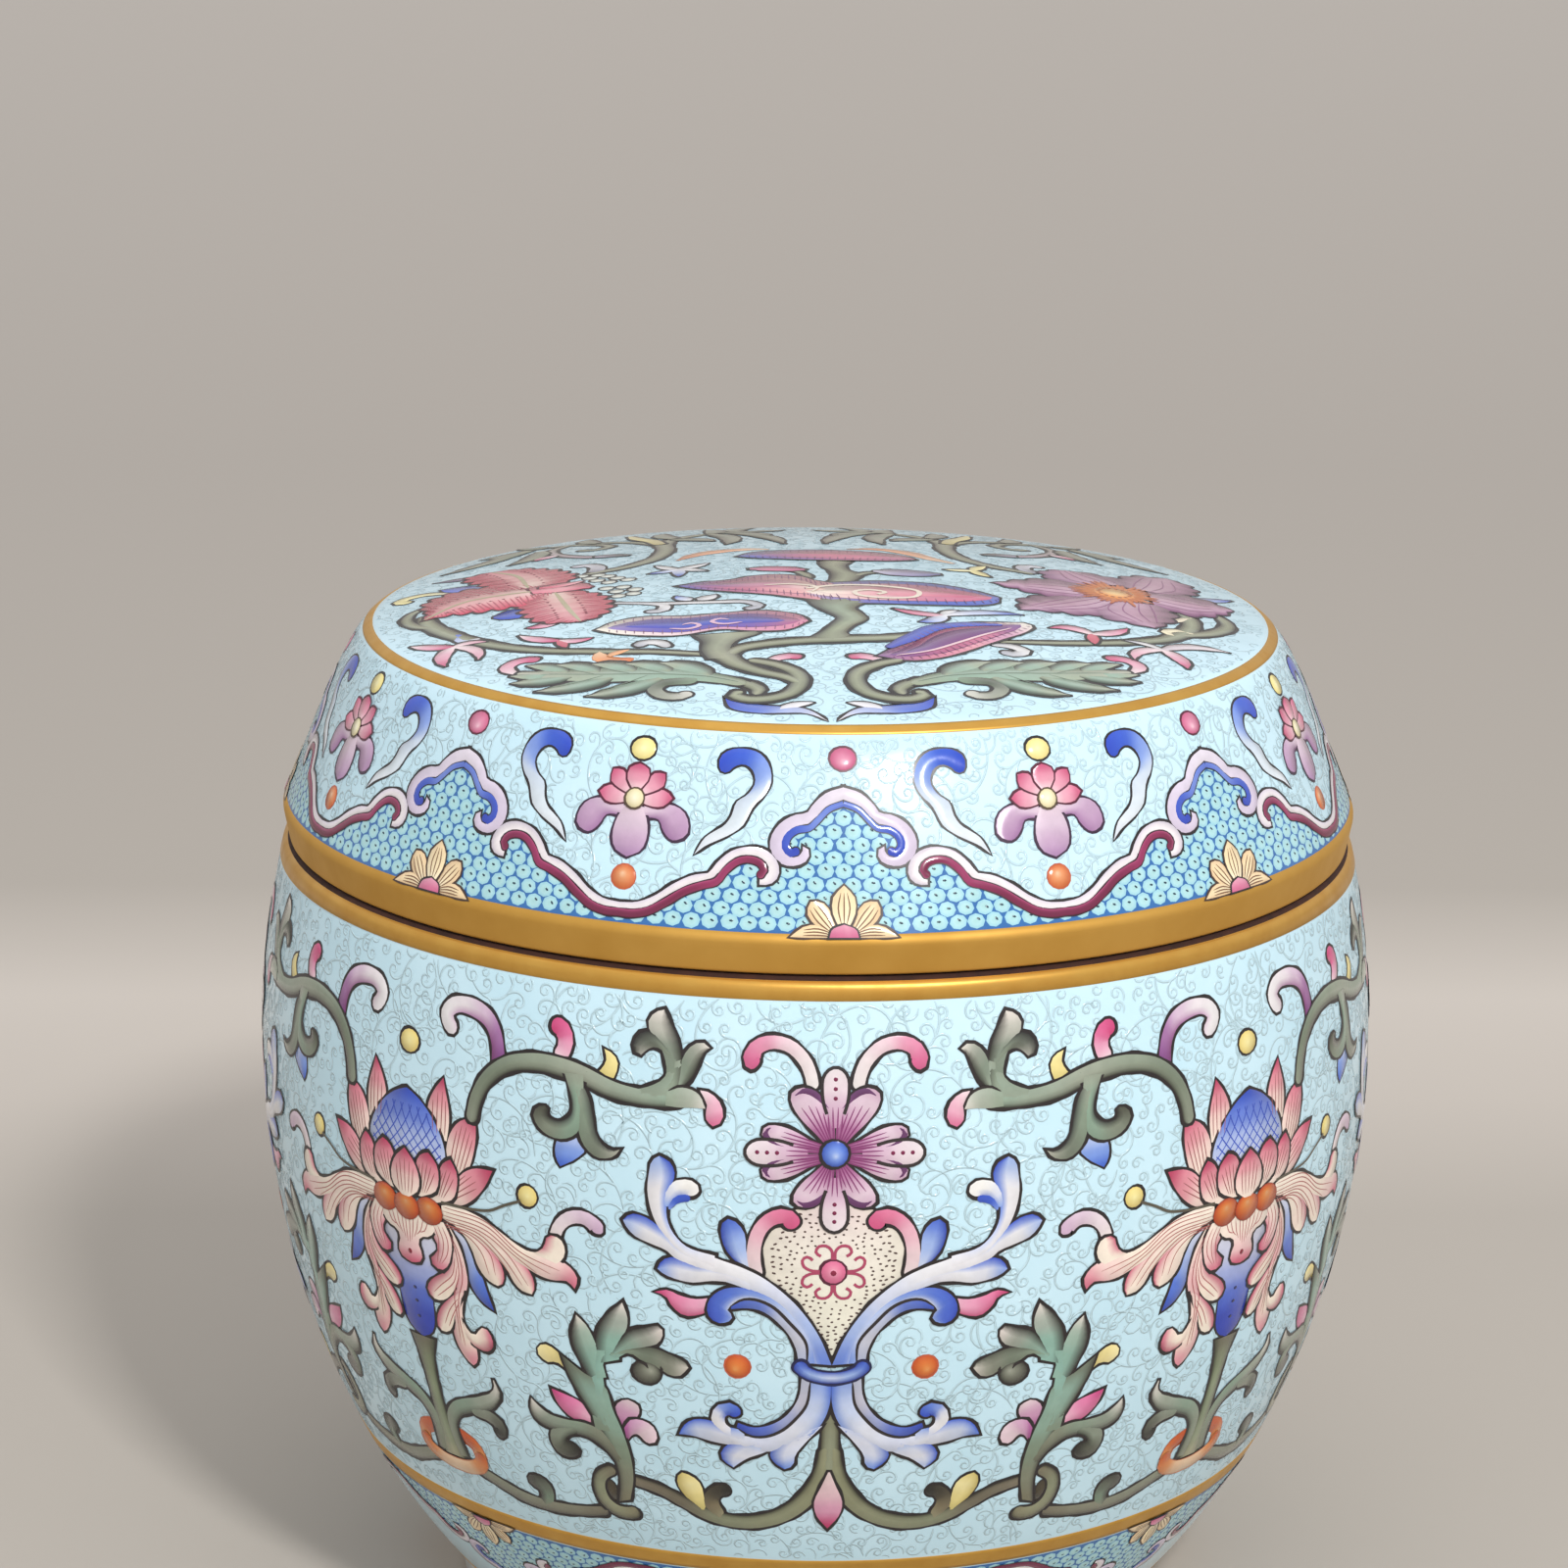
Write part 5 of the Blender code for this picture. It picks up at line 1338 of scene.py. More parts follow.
def frilled(left, right, c, pitch, amp, vein=None, **k):
    """A petal whose edges run in small scallops, with fine veins from its midrib."""
    left, right = curve(left), curve(right)
    n = int(max(arc_of(left)[-1], arc_of(right)[-1]) / 0.42)
    t = np.linspace(0, 1, n)
    sides = [along(line, t * arc_of(line)[-1]) for line in (left, right)]
    middle, out = (sides[0] + sides[1]) / 2, []
    for p in sides:
        d = np.gradient(p, axis=0)
        away = lefts(d) / np.maximum(np.hypot(*d.T), 1e-6)[:, None]
        away *= np.sign(np.sum(away * (p - middle)))
        frill = amp * (np.abs(np.sin(np.pi * arc_of(p) / pitch)) - 0.3) * np.clip(5 * t * (1 - t), 0, 1)
        out.append(p + away * frill[:, None])
    top.fill(out[0], out[1], c, cols=7, **k)
    for i in range(1, n - 3, 2) if vein else ():
        for p in out:
            pts = [middle[i + j] + (p[i + j] - middle[i + j]) * f for j, f in enumerate((0.3, 0.62, 0.93))]
            top.line(pts, 0.11, vein, level=k["level"], step=1.2)


# The crimson lily
BLUSHED, SPOT = [(240, 212, 200), (234, 176, 174), (224, 134, 146)], (116, 24, 50)
for left, right in (([(-38.6, 1.5), (-40.2, 7), (-42.2, 11.5), (-41.8, 14.2), (-39.6, 15.4)],
                     [(-31.2, 1.5), (-29.8, 5), (-31, 9.2), (-33.6, 12.7), (-36.6, 14.9), (-39.6, 15.4)]),
                    ([(-32.6, 1.6), (-38, 4.5), (-44, 4.4), (-47, 0), (-46.6, -4), (-47.1, -7.7)],
                     [(-31.6, -3), (-35.6, -6.9), (-40, -7.3), (-43.4, -6.9), (-45.4, -7), (-47.1, -7.7)]),
                    ([(-34.2, -2.6), (-35.2, -8.6), (-34.4, -13), (-32.4, -16.2), (-28.6, -17.4)],
                     [(-29.2, -2.6), (-26.6, -6.6), (-25.6, -10.2), (-25.7, -13.2), (-26.7, -15.7),
                      (-28.6, -17.4)])):
    frilled(left, right, BLUSHED, 2.3, 1.15, (196, 74, 100), lo=(202, 58, 88), hi=(202, 58, 88), power=1.5,
            level=0.6, ink=0.42, ink_c=(60, 18, 32))
    a, b = np.array([left[0], left[2], left[-2]]), np.array([right[0], right[2], right[-2]])
    centre = (a + b) / 2
    top.line([centre[0], centre[1], np.array(left[-1], float)], 0.3, (186, 176, 140), level=0.7)
    for k in range(9):
        f = 0.12 + 0.085 * k
        sag = (centre[1] - (centre[0] + centre[2]) / 2) * 4 * f * (1 - f)
        p = centre[0] * (1 - f) + centre[2] * f + sag
        for side in (-1.1, 1.1):
            d = (b - centre)[1] * 0.34 * side
            top.dot(p + d, 0.2, [SPOT], level=1.3, ink=0, sides=6, rings=1)
lobe((-34.6, -0.6), (-27.4, -1.8), 2.3, [(222, 120, 140), (226, 150, 160), (206, 86, 112)], 0.8, level=1.2,
     ink_c=CLARET, shape=(0.7, 1.0, 1.0, 0.8, 0.2))
lobe((-33.6, 0.6), (-28.4, 1.9), 0.9, [(214, 90, 116), (232, 170, 176)], -0.4, level=1.7, ink_c=CLARET)
for x, y in ((-28.6, 5.4), (-26.6, 5.1), (-27.6, 3.6), (-25.4, 3.9), (-26.7, 1.9), (-24.3, 2.3),
             (-25.3, 0.3), (-23, 0.9), (-25.6, -3), (-23.6, -3), (-22.2, -4.7), (-24.4, -5), (-22.4, -6.7),
             (-24.2, -7.3)):
    top.dot((x, y), 0.85, [(228, 228, 214), (196, 202, 196)], ink=0.26, sides=10, rings=2)
lobe((-40.6, 5.6), (-45.6, 8.2), 1.5, [(150, 160, 220), (96, 112, 206), (60, 80, 190)], 0.4, level=0)
lobe((-34.6, -9.6), (-38.8, -11.2), 2.1, [(90, 110, 204), (56, 84, 198), (44, 70, 188)], 0.5, level=0,
     shape=(0.7, 1, 1, 0.8, 0.2))
top.stroke([(-44.6, 5.2), (-47.4, 6.7), (-49.8, 6.1), (-50.4, 4.4), (-49, 3.6)],
           [0.35, 0.65, 0.8, 0.85, 0.75], [(222, 216, 180), (236, 224, 160), (240, 226, 150)])
lobe((-38.6, 13.4), (-46.6, 13.9), 0.9, [(196, 96, 130), (120, 100, 130), (90, 84, 116)], 0.2, level=0)
top.stroke([(-26.9, 7), (-26.7, 10.6), (-28, 12.4), (-29.8, 12)], [1.0, 0.9, 0.85, 0.75],
           [(140, 140, 160), (196, 196, 210), (206, 206, 216), (190, 190, 206)], ink=0.38)
lobe((-31.4, -16.2), (-34.8, -17.6), 0.9, ROSY, 0.5, level=0)

# The purple peony
MALLOW, RIM = [(208, 168, 190), (194, 146, 174), (190, 142, 172)], (108, 54, 96)
for left, right in (([(31.4, 2.6), (28.4, 3.6), (27.4, 7.4), (28.6, 9.8), (30.6, 10.6)],
                     [(38, 5.4), (37.4, 8.2), (34.4, 9.9), (32.4, 10.5), (30.6, 10.6)]),
                    ([(36.6, 4), (36.9, 9), (38.8, 12.6), (43.4, 15.3)],
                     [(42.2, 3), (45.2, 6), (45.9, 10), (44.9, 13), (43.4, 15.3)]),
                    ([(39.6, 4.6), (44.6, 4.2), (47.2, 2.6), (49.6, 0)],
                     [(39.6, -5), (44, -6.7), (47.1, -4.2), (49.6, 0)]),
                    ([(33.4, -4.6), (31.4, -10), (32.6, -13.4), (35.4, -14.5), (38.4, -15.5)],
                     [(40.6, -4), (41.3, -9), (40, -12.6), (38.4, -15.5)]),
                    ([(31.6, -3), (27, -6), (23.7, -8.6), (23.1, -11.6), (22.8, -13.8)],
                     [(35.6, -6), (33.6, -10.6), (31, -13.2), (27, -13.2), (22.8, -13.8)]),
                    ([(33, 3.2), (28, 3.7), (24.4, 1.3), (20.6, -1.4)],
                     [(31.6, -5.6), (27, -5.9), (24, -4.2), (20.6, -1.4)])):
    frilled(left, right, MALLOW, 3.0, 0.9, lo=RIM, hi=RIM, power=2.0, level=0.6, ink=0.38,
            ink_c=(52, 30, 50))
    a, b = np.array(left, float), np.array(right, float)
    for f in (0.22, 0.4, 0.6, 0.78):
        top.line([a[0] * (1 - f) + b[0] * f, a[1] * (1 - f) + b[1] * f, a[-2] * (1 - f) + b[-2] * f], 0.09,
                 (150, 84, 136), level=0.7)
EYE, THREADS, SEEDS = np.array((35.2, -0.6)), 46, 14
grain = np.random.default_rng(9)
for k in range(THREADS):
    a = 2 * np.pi * k / THREADS
    d = np.array((np.cos(a) * 5.2, np.sin(a) * 6.2)) * grain.uniform(0.7, 1.08)
    thread = [EYE + d * 0.2, EYE + d * 0.7 + (0.2, 0), EYE + d]
    top.line(thread, 0.28, [(236, 170, 100), (222, 120, 52), (206, 96, 40)], level=1.2 + 0.3 * (k % 2))
top.dot(EYE, 2.6, [(240, 200, 130), (230, 140, 70)], ry=3.2, level=2, ink=0)
for k in range(SEEDS):
    a = 2 * np.pi * k / SEEDS
    seed = (EYE[0] + 1.9 * np.cos(a), EYE[1] + 2.4 * np.sin(a))
    top.dot(seed, 0.3, [(176, 84, 40)], level=2.6, ink=0, sides=6, rings=1)
lobe((44, 3), (50.2, 6.6), 0.9, [(206, 206, 222), (150, 166, 220), (70, 96, 200)], -0.6, level=0)
lobe((43.6, -8), (37.6, -12.6), 0.7, (232, 218, 190), 0.6, level=0)
top.stroke([(26.4, 6.6), (25, 9.2), (25.8, 11.4), (27.6, 11.4)], [0.9, 0.85, 0.85, 0.75],
           [(140, 140, 160), (196, 196, 210), (206, 206, 216)], ink=0.38)
top.stroke([(43, -15.6), (41, -15.2), (39.6, -16.4), (40.4, -17.6)], [0.45, 0.6, 0.65, 0.5],
           (240, 228, 190))

# Sprigs, curls and tendrils
for base, tips in (((-43.2, -21.2),
                    (((-48.2, -18.4), 0.9, ROSY[::-1], 0.3), ((-43.9, -27.9), 0.9, ROSY, -0.8),
                     ((-39.4, -21.0), 0.6, ROSY[:2], 0.6), ((-40.2, -27.2), 0.75, ROSY[:2], 1.2))),
                   ((-31, -24),
                    (((-35.6, -20.4), 0.8, ROSY[::-1], 0.5), ((-27.2, -24.2), 0.7, ROSY, -0.6),
                     ((-30.2, -26.8), 0.6, BERRY, 0.0))),
                   ((30.4, -21.4),
                    (((25.6, -20.6), 0.9, ROSY, -1.2), ((35, -17.4), 0.8, ROSY, -0.6),
                     ((30.4, -25.2), 0.7, BERRY, 0.0))),
                   ((38.4, -24.2),
                    (((46.4, -21.2), 0.85, [(206, 190, 200), (226, 214, 220)], 1.4),
                     ((40.6, -29.8), 0.95, ROSY, 0.6), ((34.6, -29.0), 0.8, ROSY[:2], -1.2),
                     ((34.2, -22.4), 0.5, GREYISH, -0.5))),
                   ((13.4, -18.6),
                    (((7.8, -16.6), 0.8, [(222, 170, 186), (206, 96, 132)], 0.5),
                     ((22.8, -16.2), 0.85, BLUISH, 0.9), ((10.4, -21.6), 0.95, BLUISH, 0.6),
                     ((15.2, -16.2), 0.6, GREYISH, 0.4))),
                   ((-17, 4.8),
                    (((-19.6, 8), 0.7, GREYISH, 0.3), ((-13.2, 8), 0.7, GREYISH, -0.3),
                     ((-20.4, 3.2), 0.7, BLUISH, 0.2), ((-17, 0.6), 0.8, BLUISH, 0.1),
                     ((-13.6, 3), 0.7, GREYISH, 0.2))),
                   ((18.6, 5),
                    (((15.2, 4.6), 0.65, [(240, 232, 180)] * 2, 0.2),
                     ((20.4, 8.4), 0.75, [(240, 228, 160)] * 2, 0.2),
                     ((20.4, 1.8), 0.75, [(236, 222, 150)] * 2, -0.2)))):
    for tip, wide, c, bend in tips:
        lobe(base, tip, wide, c, bend)
top.stroke([(-43, -16.4), (-42.2, -19.2), (-40.2, -19.4)], [0.9, 0.7, 0.35], BLUISH[::-1])
top.stroke([(-24.6, -10.6), (-19, -12.4), (-13, -13), (-9.2, -13.4), (-7.9, -15.4), (-9.4, -16.6)],
           [0.35, 0.4, 0.45, 0.5, 0.6, 0.65], GREYISH)
top.stroke([(-21.4, -11.8), (-18.9, -13.2), (-19.2, -15.4), (-21, -15.6)], [0.35, 0.55, 0.7, 0.65], GREYISH)
lobe((-15.6, -11.6), (-17.4, -9.6), 0.8, BLUISH, 0.3)
lobe((-15, -11.6), (-12.8, -9.8), 0.9, GREYISH, -0.4)
top.stroke([(-18.6, -29.6), (-19.6, -27.8), (-21.2, -27.4), (-22.2, -28.6)], [0.5, 0.75, 0.8, 0.7], GREYISH)
top.stroke([(-26.4, -29.4), (-26.2, -31.6), (-24.4, -32.9), (-22.6, -32.6)], [0.4, 0.95, 1.1, 0.6],
           [(244, 196, 150), (238, 150, 92), (226, 116, 56)], ink=0.1, ink_c=(220, 130, 80))
lobe((-25.4, -31.2), (-23, -29.6), 0.6, (240, 170, 116), 0.2, ink=0)
top.stroke([(18.2, -28.6), (20.6, -28.8), (21.8, -30.2), (20.6, -31.4), (19.2, -30.8)],
           [0.5, 0.75, 0.8, 0.75], GREYISH)

# Vines at the back, the same on both sides
for m in (1, -1):
    vine([(-28, 6.2), (-23, 9), (-19.6, 13.6), (-18.3, 19.6), (-18.4, 25.6), (-17, 31), (-13.4, 35.6),
          (-9.4, 38.4)], [0.7, 0.9, 1.0, 1.05, 1.1, 1.0, 0.85, 0.6], m=m)
    vine([(-18.6, 24), (-21.4, 29.4), (-25.6, 33), (-31, 34.6), (-36.4, 33.4)],
         [0.8, 0.85, 0.75, 0.65, 0.4], m=m)
    top.stroke(flipped([(-18.9, 25.4), (-19.8, 30), (-21.6, 34.6), (-22.6, 40)], m), [0.8, 0.9, 0.8, 0.3],
               [(206, 190, 116), (236, 222, 150), (240, 226, 160)], level=0.8, ink=0.38)
    vine([(-30.4, 34.4), (-32.4, 29.6), (-31.8, 24.4), (-28.8, 19.8), (-25.6, 18)], [0.6, 0.65, 0.7, 0.8],
         [(150, 152, 130), (190, 170, 180), (206, 176, 196)], m=m)
    lobe((-27, 18.4), (-22.8, 17.4), 0.95, [(160, 150, 170), (60, 60, 66)], 0.3, m,
         shape=(0.6, 1, 1, 0.8, 0.4))
    lobe((-31.8, 23.4), (-34.4, 20.6), 0.9, ROSY, -0.4, m)
    vine([(-29.8, 33.6), (-26.4, 31), (-25.2, 27.6), (-27.2, 25.4), (-29, 26.4)], [0.5, 0.6, 0.7, 0.75],
         m=m)
    for base, tip, wide, bend in (
            ((-36, 33.4), (-45.8, 19.4), 1.2, 1.4), ((-35.4, 33.6), (-41.4, 29.4), 1.4, 1.0),
            ((-33.8, 30), (-37.6, 19.4), 1.3, 1.2), ((-35.6, 32), (-40.4, 24), 1.2, -0.6),
            ((-12.6, 36), (-10.8, 22.2), 1.3, 1.6), ((-10.4, 37.4), (-3.6, 21.8), 1.2, 1.4),
            ((-11, 37), (-4.8, 31.6), 1.1, 1.0), ((-17.4, 30), (-12.2, 26.2), 1.3, 0.9),
            ((-9.6, 38.2), (-2.8, 40.6), 1.2, -0.8), ((-12.4, 36.4), (-12.8, 45.4), 1.3, -1.0),
            ((-17, 31.6), (-18.2, 40.6), 1.2, 0.8), ((-26.6, 33.4), (-27.6, 41), 1.2, 0.9),
            ((-9.2, 38.6), (-6.6, 47.4), 1.3, 1.0), ((-33, 34.6), (-36.6, 38), 1.0, 0.5)):
        lobe(base, tip, wide, [(140, 144, 118), (126, 138, 118), (146, 150, 130), (100, 104, 88)], bend, m,
             lo=(66, 64, 50))


# The incised scroll ground: long hooked stems with small curls along them

STEM_SPACING, ROW_SHARE = 7.6, 0.87
CURL_GAP, STEM_GAP = 1.5, 0.6
TRIES_PER_MM2 = 1.8
RIDGE_C = (184, 216, 228)
RIDGE_H, RIDGE_LEAN = 0.012, 0.85
SQUARES_PER_MM = 5


def hook(length, k0, k1, n, power):
    """A line from the origin along +x that bends ever more tightly."""
    s = np.linspace(0, length, n)
    k = k0 + (k1 - k0) * (s / length) ** power
    a = np.r_[0, np.cumsum((k[1:] + k[:-1]) / 2 * np.diff(s))]
    middle = (a[1:] + a[:-1]) / 2
    step = np.stack([np.cos(middle), np.sin(middle)], 1) * np.diff(s)[:, None]
    return np.vstack([[0, 0], np.cumsum(step, 0)])


def placed(shape, at, angle, flip):
    """The shape turned, mirrored where flip is -1, and moved to its place."""
    c, s = np.cos(angle), np.sin(angle)
    x, y = shape[:, 0], shape[:, 1] * flip
    return np.stack([at[0] + x * c - y * s, at[1] + x * s + y * c], 1)


def scroll_lines(width, height, seed, offset):
    """Stems and curls on a patch that repeats sideways after width, all moved by the offset."""
    rng = np.random.default_rng(seed)
    stem = hook(23.0, 0.17, 0.95, 34, 3.0)
    curl = [hook(5.8, 0.42, 2.9, 15, 1.6), hook(5.0, 0.55, 3.0, 13, 1.4), hook(4.2, 0.75, 3.3, 12, 1.2)]
    stems, curls, spots = [], [], np.empty((0, 2))

    def near(p, others, limit):
        """Whether one of the others lies within the limit of p, also across the repeat."""
        if not len(others):
            return False
        d = np.abs(others - p)
        d[:, 0] %= width
        d[:, 0] = np.minimum(d[:, 0], width - d[:, 0])
        return bool((np.hypot(*d.T) < limit).any())

    rows = int(np.ceil(height / (STEM_SPACING * ROW_SHARE))) + 1
    n = int(round(width / STEM_SPACING))
    for j in range(rows):
        for i in range(n):
            at = np.array([(i + 0.5 * (j % 2)) * width / n, j * STEM_SPACING * ROW_SHARE])
            at = at + rng.uniform(-1.2, 1.2, 2)
            line = placed(stem, at, rng.uniform(0, 2 * np.pi), rng.choice((-1, 1)))
            stems.append(line + at - line[-8])
    guard = np.vstack(stems)
    for line in stems:
        for k in range(2, len(line) - 3, 2):
            side = 1 if (k // 2) % 2 else -1
            shape = curl[rng.integers(3)]
            d = line[k + 1] - line[k]
            new = placed(shape, line[k], np.arctan2(d[1], d[0]) + side * rng.uniform(0.1, 0.5), side)
            if not near(new[-1], spots, CURL_GAP):
                curls.append(new)
                spots = np.vstack([spots, new[-1] % (width, 1e9)])
    for _ in range(int(width * height * TRIES_PER_MM2)):
        at = rng.uniform((0, 0), (width, height))
        if near(at, spots, CURL_GAP) or near(at, guard, STEM_GAP):
            continue
        new = placed(curl[rng.integers(1, 3)], at, rng.uniform(0, 2 * np.pi), rng.choice((-1, 1)))
        curls.append(new + at - new[-1])
        spots = np.vstack([spots, at])
    return [line + offset for line in stems + curls]


def covered(layers, box, width=None):
    """A map in small squares of where the painted films lie inside the box."""
    x0, x1, y0, y1 = box
    grid = np.zeros((int((x1 - x0) * SQUARES_PER_MM) + 1, int((y1 - y0) * SQUARES_PER_MM) + 1), bool)
    f = np.linspace(0, 1, 5)
    corners = (np.outer(1 - f, 1 - f), np.outer(1 - f, f), np.outer(f, f), np.outer(f, 1 - f))
    w = np.stack(corners, -1).reshape(-1, 4)
    for film, copies in layers:
        a, q = np.concatenate(film.parts)[:, :2], np.concatenate(film.quads)
        spots = np.einsum("kc,qcd->qkd", w, a[q]).reshape(-1, 2)
        for sign, shift in copies:
            p = spots * (sign, 1) + (shift, 0)
            if width:
                p[:, 0] = (p[:, 0] - x0) % width + x0
            i = ((p - (x0, y0)) * SQUARES_PER_MM).astype(int)
            ok = (i >= 0).all(1) & (i < grid.shape).all(1)
            grid[i[ok, 0], i[ok, 1]] = True
    return grid


def scroll_film(lines, inside, hidden, box, width=None, w=0.145):
    """Narrow half-round ridges along the lines, left out where the painting hides them."""
    film = Film()
    x0, _, y0, _ = box
    for line in lines:
        p = line.copy()
        if width:
            p[:, 0] = (p[:, 0] - x0) % width + x0
        i = np.clip(((p - (x0, y0)) * SQUARES_PER_MM).astype(int), 0, np.array(hidden.shape) - 1)
        bare = ~hidden[i[:, 0], i[:, 1]]
        bare[1:-1] |= bare[:-2] | bare[2:]
        show = inside(line) & bare
        d = np.gradient(line, axis=0)
        n = lefts(d / np.linalg.norm(d, axis=1)[:, None])
        edges = np.flatnonzero(np.diff(np.r_[False, show, False].astype(int)))
        for a, b in zip(edges[::2], edges[1::2]):
            if b - a > 3:
                m = n[a:b]
                ends = np.ones(b - a)
                ends[[0, -1]] = 0.4
                side = m * (w * ends)[:, None]
                strip = np.stack([line[a:b] - side, line[a:b] + side], 1)
                tilt = np.stack([-m, m], 1) * RIDGE_LEAN
                film.grid(strip, np.full(strip.shape[:2], RIDGE_H), tilt, np.asarray(RIDGE_C, float))
    return film


# Materials, with the depth of their fine grain in metres

GRAIN_DEPTH = 0.00001


def nodes_of(name, rough, metallic=0.0, coat=0.0):
    """A new material with its nodes, its links and its shader."""
    m = bpy.data.materials.new(name)
    m.use_nodes = True
    shader = m.node_tree.nodes["Principled BSDF"]
    shader.inputs["Roughness"].default_value = rough
    shader.inputs["Metallic"].default_value = metallic
    shader.inputs["Coat Weight"].default_value = coat
    shader.inputs["Coat Roughness"].default_value = 0.06
    return m, m.node_tree.nodes, m.node_tree.links, shader


def noise(nodes, links, scale):
    """Object coordinates through a noise texture, its factor as the output."""
    place = nodes.new("ShaderNodeTexCoord")
    grain = nodes.new("ShaderNodeTexNoise")
    grain.inputs["Scale"].default_value = scale
    grain.inputs["Detail"].default_value = 3.0
    links.new(place.outputs["Object"], grain.inputs["Vector"])
    return grain.outputs["Fac"]


def between(nodes, links, fac, low, high):
    """A value between low and high, as fac goes from 0.3 to 0.7."""
    span = nodes.new("ShaderNodeMapRange")
    for key, value in (("From Min", 0.3), ("From Max", 0.7), ("To Min", low), ("To Max", high)):
        span.inputs[key].default_value = value
    links.new(fac, span.inputs["Value"])
    return span.outputs["Result"]


def bumped(nodes, links, shader, fac, depth):
    """The shader's surface raised by this depth where fac is 1."""
    bump = nodes.new("ShaderNodeBump")
    bump.inputs["Strength"].default_value = 1.0
    bump.inputs["Distance"].default_value = depth
    links.new(fac, bump.inputs["Height"])
    links.new(bump.outputs["Normal"], shader.inputs["Normal"])


def blended(name, c1, c2, scale, rough, grain=900.0, depth=GRAIN_DEPTH, metallic=0.0, coat=0.0,
            spread=0.05):
    """Two colours clouded together, with uneven gloss and a fine surface grain."""
    m, nodes, links, shader = nodes_of(name, rough, metallic, coat)
    cloud = noise(nodes, links, scale)
    mix = nodes.new("ShaderNodeMix")
    mix.data_type = "RGBA"
    mix.inputs["A"].default_value = (*linear(c1), 1)
    mix.inputs["B"].default_value = (*linear(c2), 1)
    links.new(between(nodes, links, cloud, 0, 1), mix.inputs["Factor"])
    links.new(mix.outputs["Result"], shader.inputs["Base Color"])
    links.new(between(nodes, links, cloud, rough - spread, rough + spread), shader.inputs["Roughness"])
    bumped(nodes, links, shader, noise(nodes, links, grain), depth)
    return m


def tinted(name, rough, coat, vary):
    """The drawn colour of each place, clouded as a brush leaves it."""
    m, nodes, links, shader = nodes_of(name, rough, coat=coat)
    tint = nodes.new("ShaderNodeVertexColor")
    tint.layer_name = "tint"
    cloud = noise(nodes, links, 700.0)
    shade = nodes.new("ShaderNodeMix")
    shade.data_type = "RGBA"
    shade.blend_type = "MULTIPLY"
    shade.inputs["Factor"].default_value = 1.0
    grey = nodes.new("ShaderNodeCombineColor")
    value = between(nodes, links, cloud, 1 - vary, 1.0)
    for key in ("Red", "Green", "Blue"):
        links.new(value, grey.inputs[key])
    links.new(tint.outputs["Color"], shade.inputs["A"])
    links.new(grey.outputs["Color"], shade.inputs["B"])
    links.new(shade.outputs["Result"], shader.inputs["Base Color"])
    gloss = between(nodes, links, noise(nodes, links, 260.0), rough - 0.05, rough + 0.06)
    links.new(gloss, shader.inputs["Roughness"])
    bumped(nodes, links, shader, noise(nodes, links, 1400.0), GRAIN_DEPTH)
    return m


GROUND = blended("Pale blue enamel", (191, 224, 238), (199, 229, 242), 120.0, 0.2, coat=0.3)
WHITE = blended("White inner glaze", (232, 235, 232), (222, 228, 228), 60.0, 0.16, grain=300.0, coat=0.3)
BISCUIT = blended("Bare foot rim", (206, 196, 180), (186, 174, 156), 400.0, 0.78, grain=2500.0,
                  depth=4 * GRAIN_DEPTH)
GOLD = blended("Satin gilding", (204, 158, 76), (194, 148, 66), 140.0, 0.58, metallic=0.7, spread=0.04)
PALE_GOLD = blended("Pale gilding", (212, 164, 78), (202, 152, 68), 300.0, 0.38, metallic=0.7, spread=0.06)
# Dark brown for the seam under the lid's lip: painted shade in the gap between lid and shoulder
SEAM_SHADE = blended("Painted seam shade", (60, 26, 14), (40, 16, 8), 500.0, 0.8)
ENAMEL = tinted("Painted enamel", 0.2, 0.35, 0.1)
INK_LINE = tinted("Painted outline", 0.34, 0.1, 0.3)
RIDGE = tinted("Scroll ridge", 0.22, 0.3, 0.12)


# The turned pieces, whose sections begin just off the axis, so that no quad closes to a point

AXIS_R = 0.01


def turned(name, path, materials, zones, replaces=None, lift=0.0):
    """A turned surface from an open or closed section, with one zone number for each of its steps."""
    path = np.asarray(path, float)
    a = np.arange(TURNS) * 2 * np.pi / TURNS
    r, z = path[:, 0], path[:, 1] + lift
    p = np.stack([r[:, None] * np.sin(a), -r[:, None] * np.cos(a), np.repeat(z[:, None], TURNS, 1)], -1)
    i = np.arange(len(path) * TURNS).reshape(len(path), TURNS)
    quads = grid_quads(np.c_[i, i[:, 0]])
    o = mesh_object(name, p.reshape(-1, 3) * MM, quads, materials, np.repeat(zones, TURNS))
    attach(o, "root")
    if replaces:
        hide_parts(replaces)


